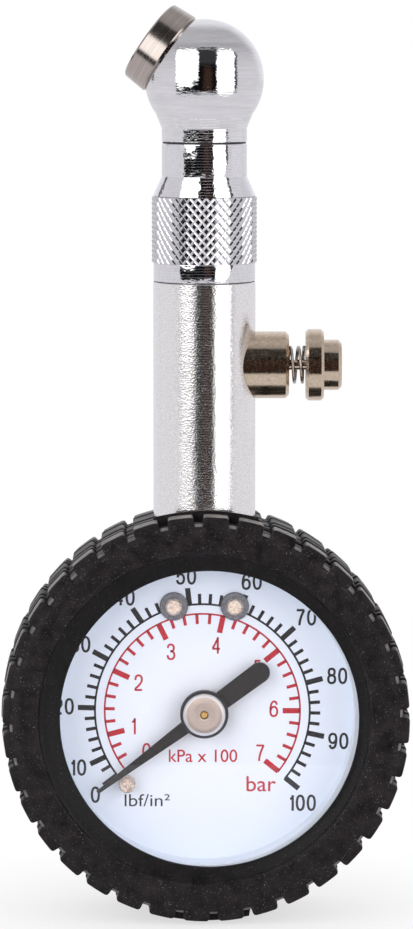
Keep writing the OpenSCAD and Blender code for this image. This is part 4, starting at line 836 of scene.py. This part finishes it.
# The numerals' strokes, in a box from 0 to 1: a line is straight, a bend smooth, a loop smooth and closed
SIX = [("bend", [(0.95, 0.78), (0.80, 0.95), (0.52, 1.0), (0.18, 0.87), (0.0, 0.45), (0.10, 0.10),
                 (0.5, 0.0), (0.87, 0.09), (1.0, 0.32), (0.87, 0.55), (0.52, 0.64), (0.16, 0.54),
                 (0.02, 0.36)])]
NUMERALS = {
    "0": [("loop", [(0.5, 1.0), (0.87, 0.87), (1.0, 0.5), (0.87, 0.13), (0.5, 0.0), (0.13, 0.13),
                    (0.0, 0.5), (0.13, 0.87)])],
    "1": [("bend", [(0.0, 0.77), (0.5, 0.81), (0.85, 0.90), (1.0, 1.0)]),
          ("line", [(1.0, 1.04), (1.0, -0.06)])],
    "2": [("bend", [(0.03, 0.68), (0.14, 0.92), (0.5, 1.0), (0.86, 0.92), (0.97, 0.71), (0.84, 0.50),
                    (0.45, 0.27), (0.10, 0.12), (0.0, 0.0)]), ("line", [(-0.09, 0.0), (1.0, 0.0)])],
    "3": [("bend", [(0.04, 0.75), (0.17, 0.94), (0.5, 1.0), (0.82, 0.93), (0.93, 0.76), (0.80, 0.59),
                    (0.42, 0.53)]),
          ("bend", [(0.40, 0.53), (0.84, 0.48), (1.0, 0.27), (0.86, 0.07), (0.5, 0.0), (0.14, 0.07),
                    (0.0, 0.27)])],
    "4": [("line", [(0.74, -0.06), (0.74, 1.06)]), ("line", [(0.78, 1.0), (0.0, 0.29)]),
          ("line", [(-0.06, 0.27), (1.06, 0.27)])],
    "5": [("line", [(0.92, 1.0), (0.14, 1.0)]), ("line", [(0.22, 1.04), (0.08, 0.42)]),
          ("bend", [(0.08, 0.46), (0.28, 0.62), (0.55, 0.65), (0.88, 0.55), (1.0, 0.32), (0.86, 0.08),
                    (0.48, 0.0), (0.14, 0.06), (0.0, 0.24)])],
    "6": SIX,
    "7": [("line", [(-0.06, 1.0), (1.06, 1.0)]),
          ("bend", [(1.0, 1.0), (0.64, 0.60), (0.42, 0.25), (0.34, -0.06)])],
    "8": [("loop", [(0.5, 1.0), (0.82, 0.94), (0.92, 0.77), (0.82, 0.60), (0.5, 0.54), (0.18, 0.60),
                    (0.08, 0.77), (0.18, 0.94)]),
          ("loop", [(0.5, 0.53), (0.86, 0.48), (1.0, 0.27), (0.86, 0.06), (0.5, 0.0), (0.14, 0.06),
                    (0.0, 0.27), (0.14, 0.48)])],
    "9": [(kind, [(1 - x, 1 - y) for x, y in points]) for kind, points in SIX]}


class Print:
    """Flat printed lines and words on the dial, gathered into one thin piece for each ink.

    Places are in mm right of and above the print's middle, and directions in degrees round from the right.
    """

    def __init__(self):
        self.verts, self.faces = [], []

    def place(self, x, y, off):
        """A point in the world, with that much stand-off from the dial."""
        return on_dial(x + PRINT_X, y + PRINT_UP, -DIAL_FRONT / MM - off)

    def line(self, path, width, closed=False):
        """A line of that width along a path."""
        path = np.array(path, float)
        count, start = len(path), len(self.verts)
        if closed:
            along = np.roll(path, -1, 0) - np.roll(path, 1, 0)
        else:
            along = np.gradient(path, axis=0)
        along /= np.linalg.norm(along, axis=1)[:, None]
        side = np.stack([-along[:, 1], along[:, 0]], axis=1) * width / 2
        for p, q in zip(path, side):
            self.verts += [self.place(x, y, off)
                           for off in (-PRINT_SUNK, PRINT_T) for x, y in (p - q, p + q)]
        for i in range(count if closed else count - 1):
            here, there = start + 4 * i, start + 4 * ((i + 1) % count)
            self.faces += [(here + j, here + k, there + k, there + j)
                           for j, k in ((0, 1), (1, 3), (3, 2), (2, 0))]
        if not closed:
            last = start + 4 * (count - 1)
            self.faces += [(start, start + 2, start + 3, start + 1), (last, last + 1, last + 3, last + 2)]

    def tick(self, direction, r_in, r_out, width):
        """A mark of a scale, between two radii."""
        turn = math.radians(direction)
        self.line([(r * math.cos(turn), r * math.sin(turn)) for r in (r_in, r_out)], width)

    def arc(self, start_deg, end_deg, radius, width):
        """The line that a scale's marks stand on."""
        turns = np.radians(np.linspace(start_deg, end_deg, 181))
        self.line(np.stack([radius * np.cos(turns), radius * np.sin(turns)], axis=1), width)

    def number(self, text, x, y, digit_w, height, weight):
        """A number centred on x and y, in the round-shouldered numerals of an instrument."""
        gap = 0.27
        widths = [digit_w * (0.54 if digit == "1" else 1.0) for digit in text]
        left, foot = x - (sum(widths) + gap * (len(text) - 1)) / 2, y - height / 2 + weight / 2
        for digit, width in zip(text, widths):
            for kind, points in NUMERALS[digit]:
                path = points if kind == "line" else smooth_path(points, kind == "loop")
                path = [(left + weight / 2 + px * (width - weight), foot + py * (height - weight))
                        for px, py in path]
                self.line(path, weight, kind == "loop")
            left += width + gap

    def words(self, text, x, y, width, height, weight):
        """Lettering fitted to a width and height and centred on x and y, with heavier strokes by weight."""
        curve = bpy.data.curves.new("lettering", "FONT")
        curve.body, curve.size, curve.offset, curve.resolution_u = text, 1.0, weight, 5
        curve.extrude = 0.01
        holder = bpy.data.objects.new("lettering", curve)
        bpy.context.scene.collection.objects.link(holder)
        bpy.context.view_layer.update()
        mesh = holder.to_mesh()
        points = np.array([v.co for v in mesh.vertices])
        low, high = points.min(0), points.max(0)
        placed = (points - low) / (high - low) - [0.5, 0.5, 0]
        start = len(self.verts)
        self.verts += [self.place(x + right * width, y + up * height, -PRINT_SUNK if back else PRINT_T)
                       for right, up, back in zip(placed[:, 0], placed[:, 1], placed[:, 2] <= 0.5)]
        self.faces += [tuple(start + i for i in f.vertices) for f in mesh.polygons]
        holder.to_mesh_clear()
        bpy.data.objects.remove(holder)

    def piece(self, name, material):
        """All that was printed, as one piece."""
        new_piece(name, self.verts, self.faces, material, "gauge", 30)


def psi_print(material):
    """The outer scale, 0 to 100 in black, with its numerals and unit. Its zero stands a little apart."""
    ink = Print()

    def direction(value):
        """Where a value is on the scale."""
        return PSI_TEN_DIR - (value - 10) * PSI_STEP

    ink.arc(direction(100) - PSI_ARC_PAST, PSI_ARC_DIR, PSI_ARC_R, PSI_ARC_W)
    ink.tick(PSI_ZERO_DIR, PSI_FOOT_R, *PSI_LONG)
    for value in range(8, 101, 2):
        ink.tick(direction(value), PSI_FOOT_R, *(PSI_LONG if value % 10 == 0 else PSI_SHORT))
    for text, x, y in (("0", -16.23, -12.88), ("10", -18.81, -8.71), ("20", -20.98, 0.67),
                       ("30", -18.46, 10.15), ("40", -11.74, 17.3), ("50", -2.46, 20.5),
                       ("60", 7.46, 19.7), ("70", 15.67, 14.26), ("80", 20.4, 5.32),
                       ("90", 20.6, -4.64), ("100", 15.18, -14.13)):
        ink.number(text, x, y, digit_w=1.4, height=2.54, weight=0.36)
    ink.words("lbf/in\u00b2", -8.35, -13.73, width=6.87, height=1.88, weight=0.0)
    ink.piece("dial_print_psi", material)


def bar_print(material):
    """The inner scale, 0 to 7 in red, with its numerals and units."""
    ink = Print()

    def direction(value):
        """Where a value is on the scale."""
        return BAR_ONE_DIR - (value - 1) * BAR_STEP

    ink.arc(direction(7) - BAR_ARC_PAST, BAR_ARC_DIR, BAR_ARC_R, BAR_ARC_W)
    for fifth in range(3, 36):
        tip_r, width = BAR_LONG if fifth % 5 == 0 else BAR_SHORT
        ink.tick(direction(fifth / 5), tip_r, BAR_FOOT_R, width)
    for text, x, y in (("0", -8.45, -6.21), ("1", -10.44, -2.36), ("2", -9.64, 4.29), ("3", -4.75, 9),
                       ("4", 2.09, 9.98), ("5", 8.36, 6.51), ("6", 10.82, 0.29), ("7", 8.76, -6.45)):
        ink.number(text, x, y, digit_w=1.34, height=2.54, weight=0.3)
    ink.words("kPa x 100", 0.11, -6.91, width=10.37, height=1.95, weight=0.004)
    ink.words("bar", 8.92, -11.21, width=4.46, height=2.35, weight=0.004)
    ink.piece("dial_print_bar", material)


# ------------------------------------------------------------------ studio

TABLE_HALF_WIDE, TABLE_FRONT, TABLE_BACK = 3, -0.15, 4
NEAR_GLOW, SHADOW_REACH = 0.62, 0.06
WINDOW_GLOW = 2.1
FILL_LIGHT, FILL_WIDTH, FILL_HEIGHT = 1.1, 1.8, 0.5
FILL_PLACE, FILL_TARGET = (0.2, -0.88, 0.2), (0, 0, 0.06)
ROOM_LIFT = math.radians(1.3)
VIEW_LIFT, VIEW_DISTANCE, VIEW_LENS_MM = math.radians(6), 0.7, 179.17
VIEW_CENTRE = (0.33 * MM, 0, 68.5 * MM)


def table():
    """A white table top, which glows to the camera and in polished metal.

    Near the object it glows less, so that its shadow shows, and further off it is as white as the backdrop.
    """
    made = bpy.data.materials.new("table_white_laminate")
    made.use_nodes = True
    tree = made.node_tree
    tree.nodes.clear()
    place = add(tree, "ShaderNodeTexCoord").outputs["Object"]
    flat = add(tree, "ShaderNodeVectorMath", {0: place, 1: (1, 1, 0)}, operation="MULTIPLY")
    far = add(tree, "ShaderNodeVectorMath", {0: flat.outputs[0]}, operation="LENGTH")
    fade = add(tree, "ShaderNodeMapRange",
               {"Value": far.outputs["Value"], "From Min": 0.0, "From Max": SHADOW_REACH,
                "To Min": NEAR_GLOW, "To Max": 1.0}, interpolation_type="SMOOTHSTEP").outputs["Result"]
    path = add(tree, "ShaderNodeLightPath").outputs
    direct = add(tree, "ShaderNodeMath", {0: path["Is Camera Ray"], 1: path["Is Glossy Ray"]},
                 operation="MAXIMUM").outputs[0]
    any_way = add(tree, "ShaderNodeMath", {0: direct, 1: path["Is Transmission Ray"]},
                  operation="MAXIMUM").outputs[0]
    seen = add(tree, "ShaderNodeMath", {0: fade, 1: any_way}, operation="MULTIPLY").outputs[0]
    top = add(tree, "ShaderNodeBsdfPrincipled", {"Base Color": linear("#f6f6f7"), "Roughness": 0.8})
    tone = add(tree, "ShaderNodeMix",
               {"Factor": path["Is Glossy Ray"], "A": (1, 1, 1, 1), "B": linear("#e6e5e9")},
               data_type="RGBA").outputs["Result"]
    glow = add(tree, "ShaderNodeEmission", {"Color": tone, "Strength": 1.0})
    both = add(tree, "ShaderNodeMixShader", {0: seen, 1: top.outputs[0], 2: glow.outputs[0]})
    add(tree, "ShaderNodeOutputMaterial", {"Surface": both.outputs[0]})
    mesh = bpy.data.meshes.new("table")
    mesh.from_pydata([(-TABLE_HALF_WIDE, TABLE_FRONT, 0), (TABLE_HALF_WIDE, TABLE_FRONT, 0),
                      (TABLE_HALF_WIDE, TABLE_BACK, 0), (-TABLE_HALF_WIDE, TABLE_BACK, 0)],
                     [], [(0, 1, 2, 3)])
    mesh.materials.append(made)
    slab = bpy.data.objects.new("table", mesh)
    bpy.context.scene.collection.objects.link(slab)


def studio_room():
    """White to the camera. To the object it is a pale studio with two tall windows in it.

    The room is laid out over the face that a mirror ball shows from the front, with `a` to the right
    and `b` up, both from -1 to 1: a ball's middle shows what is behind the camera, its rim what is
    behind the ball.
    """
    world = bpy.data.worlds.new("studio")
    bpy.context.scene.world = world
    world.use_nodes = True
    tree = world.node_tree
    tree.nodes.clear()
    front = (0, -math.cos(ROOM_LIFT), math.sin(ROOM_LIFT))
    above = (0, math.sin(ROOM_LIFT), math.cos(ROOM_LIFT))
    direction = add(tree, "ShaderNodeTexCoord").outputs["Generated"]
    half = add(tree, "ShaderNodeVectorMath", {0: direction, 1: front}, operation="ADD").outputs[0]
    facing = add(tree, "ShaderNodeVectorMath", {0: half}, operation="NORMALIZE").outputs[0]
    a = add(tree, "ShaderNodeSeparateXYZ", {0: facing}).outputs["X"]
    b = add(tree, "ShaderNodeVectorMath", {0: facing, 1: above}, operation="DOT_PRODUCT").outputs["Value"]
    plane = add(tree, "ShaderNodeCombineXYZ", {"X": a, "Y": b}).outputs[0]
    rim = add(tree, "ShaderNodeVectorMath", {0: plane}, operation="LENGTH").outputs["Value"]

    def panel(under, colour, a0, a1, b0, b1, corner=0.0, soft=0.012):
        """A panel of that colour between a0 and a1 and between b0 and b1, with rounded corners."""
        middle = ((a0 + a1) / 2, (b0 + b1) / 2, 0)
        core = ((a1 - a0) / 2 - corner, (b1 - b0) / 2 - corner, 0)
        past = add(tree, "ShaderNodeVectorMath", {0: plane, 1: middle}, operation="SUBTRACT").outputs[0]
        past = add(tree, "ShaderNodeVectorMath", {0: past}, operation="ABSOLUTE").outputs[0]
        past = add(tree, "ShaderNodeVectorMath", {0: past, 1: core}, operation="SUBTRACT").outputs[0]
        past = add(tree, "ShaderNodeVectorMath", {0: past, 1: (0, 0, 0)}, operation="MAXIMUM").outputs[0]
        far = add(tree, "ShaderNodeVectorMath", {0: past}, operation="LENGTH").outputs["Value"]
        mask = add(tree, "ShaderNodeMapRange",
                   {"Value": far, "From Min": corner + soft, "From Max": max(corner - soft, 0.0)},
                   interpolation_type="SMOOTHSTEP").outputs["Result"]
        return add(tree, "ShaderNodeMix", {"Factor": mask, "A": under, "B": colour},
                   data_type="RGBA").outputs["Result"]

    height = add(tree, "ShaderNodeMapRange",
                 {"Value": b, "From Min": -1.0, "From Max": 1.0}).outputs["Result"]
    walls = add(tree, "ShaderNodeValToRGB", {"Fac": height}, stops=[
        (0.0, linear("#dcdbe1")), (0.16, linear("#cccbce")), (0.185, linear("#9b999d")),
        (0.21, linear("#d0cfd3")), (0.35, linear("#dfdee2")), (0.5, linear("#e3e2e6")),
        (0.62, linear("#dddce0")), (0.73, linear("#cac9cc")), (0.78, linear("#b6b5b8")),
        (0.82, linear("#c8c7ca")), (0.9, linear("#bebdc0")), (1.0, linear("#d0cfd4"))]).outputs["Color"]
    edge = add(tree, "ShaderNodeMapRange", {"Value": rim, "From Min": 0.86, "From Max": 0.99},
               interpolation_type="SMOOTHSTEP").outputs["Result"]
    room = add(tree, "ShaderNodeMix", {"Factor": edge, "A": walls, "B": linear("#f4f4fa")},
               data_type="RGBA").outputs["Result"]
    black, wood, lit = linear("#101011"), linear("#402e27"), (WINDOW_GLOW, WINDOW_GLOW, WINDOW_GLOW, 1.0)
    # Two posts, the black wall between the windows with its lighter top and wood, the left window with a
    # dark corner, and the right window
    room = panel(room, linear("#6e6c70"), -0.88, -0.845, -1, 1, soft=0.008)
    room = panel(room, linear("#505054"), 0.505, 0.54, -0.45, 0.42)
    room = panel(room, black, -0.47, 0.215, -0.235, 0.50, 0.03)
    room = panel(room, linear("#3b3a3c"), -0.10, 0.215, 0.26, 0.49, 0.03, 0.05)
    room = panel(room, wood, -0.01, 0.13, -0.2, 0.20, 0.05, 0.04)
    room = panel(room, lit, -0.47, -0.10, -0.13, 0.485, 0.07)
    room = panel(room, black, -0.20, -0.05, -0.235, -0.03, 0.06, 0.03)
    room = panel(room, lit, 0.215, 0.5, -0.24, 0.47, 0.06)
    path = add(tree, "ShaderNodeLightPath").outputs
    open_way = add(tree, "ShaderNodeMath", {0: path["Is Camera Ray"], 1: path["Is Transmission Ray"]},
                   operation="MAXIMUM").outputs[0]
    seen = add(tree, "ShaderNodeMix", {"Factor": open_way, "A": room, "B": (1, 1, 1, 1)},
               data_type="RGBA").outputs["Result"]
    glow = add(tree, "ShaderNodeBackground", {"Color": seen, "Strength": 1.0})
    add(tree, "ShaderNodeOutputWorld", {"Surface": glow.outputs[0]})


def fill_lamp():
    """A long soft lamp in front of the object and above it, which the polished metal doesn't show."""
    lamp = bpy.data.lights.new("fill_lamp", "AREA")
    lamp.shape, lamp.size, lamp.size_y = "RECTANGLE", FILL_WIDTH, FILL_HEIGHT
    lamp.energy = FILL_LIGHT * math.pi * FILL_WIDTH * FILL_HEIGHT
    holder = bpy.data.objects.new("fill_lamp", lamp)
    holder.location = FILL_PLACE
    holder.rotation_euler = (Vector(FILL_TARGET) - holder.location).to_track_quat("-Z", "Y").to_euler()
    holder.visible_glossy = False
    bpy.context.scene.collection.objects.link(holder)


def camera():
    """The view of the object from in front and a little above level."""
    lens = bpy.data.cameras.new("camera")
    lens.lens, lens.sensor_width = VIEW_LENS_MM, 36
    lens.clip_start, lens.clip_end = 0.05, 50
    holder = bpy.data.objects.new("camera", lens)
    back = Vector((0, -math.cos(VIEW_LIFT), math.sin(VIEW_LIFT)))
    holder.location = Vector(VIEW_CENTRE) + back * VIEW_DISTANCE
    holder.rotation_euler = (math.radians(90) - VIEW_LIFT, 0, 0)
    bpy.context.scene.collection.objects.link(holder)
    bpy.context.scene.camera = holder


# ------------------------------------------------------------------ the object

rubber = nitrile_rubber()
aluminium = turned_aluminium()
chrome = chromed_collar()
knurled_chrome = chromed_knurl()
chrome_ball = chromed_ball()
nickel = satin_nickel()
champagne = champagne_nickel()
brass = turned_brass()
bronze = phosphor_bronze()
wire = spring_steel()
screw = nickel_screw()
washer = zinc_washer()
cap = cap_nickel()
case_paint = painted("steel_sheet_painted_black", "#0d0c0d", "#171618", 0.4)
pointer_paint = painted("aluminium_painted_charcoal", "#151111", "#201b1a", 0.5)
acetal = moulded_acetal()
enamel = dial_enamel()
black_ink = printed_ink("pad_print_ink_black", "#131215", "#1c1b1f")
red_ink = printed_ink("pad_print_ink_red", "#b91f2c", "#c92e39")
window = clear_polycarbonate()
seal = seal_rubber()

dress(["stem_tube"], aluminium)
dress(["ball_head"], chrome_ball)
dress(["nozzle_ring"], nickel)
dress(["bleed_housing", "bleed_button", "bleed_stem"], champagne)
dress(["pinion_arbor", "sector_gear", "sector_arbor", "movement_front_plate", "movement_back_plate",
       "movement_pillars", "link", "bourdon_tip", "socket_block", "check_valve_body", "depressor_pin"],
      brass)
dress(["hairspring", "bourdon_tube"], bronze)
dress(["case_screws", "dial_screws", "stop_pin", "movement_screws"], screw)
dress(["dial_washers"], washer)
dress(["gauge_case"], case_paint)
dress(["pointer"], pointer_paint)
dress(["pointer_boss"], acetal)
dress(["dial_plate"], enamel)
dress(["lens"], window)
dress(["check_poppet", "collar_o_ring", "swivel_o_ring", "nozzle_seal", "bleed_seal"], seal)
dress(["swivel_clip"], wire)

tyre_boot(rubber)
psi_print(black_ink)
bar_print(red_ink)
knurl_skin(knurled_chrome)
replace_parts(collar_body(chrome), "knurled_collar")
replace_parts(turned_bezel(case_paint), "bezel_ring")
dial_ring(enamel)
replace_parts(turned_cap(cap), "pointer_cap")
arbor_end(brass)
# Dark rings in the swivel's and the collar's gaps, as painted shade
gap_shade_ring("swivel_seam", seal, radius=6.3, inner=5.6, low=117.04, high=117.24)
gap_shade_ring("collar_seam", seal, radius=7.6, inner=7.0, low=96.2, high=96.38)

bleed_spring = coil_spring("bleed_spring_wire", wire, "bleed_spring", X, thick=0.46, active=3.5)
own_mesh(bleed_spring)
check_spring = coil_spring("check_spring_wire", wire, "check_spring", Z, thick=0.2, active=2.0)
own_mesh(check_spring)

table()
studio_room()
fill_lamp()
camera()
bpy.context.scene.view_settings.view_transform = "Standard"
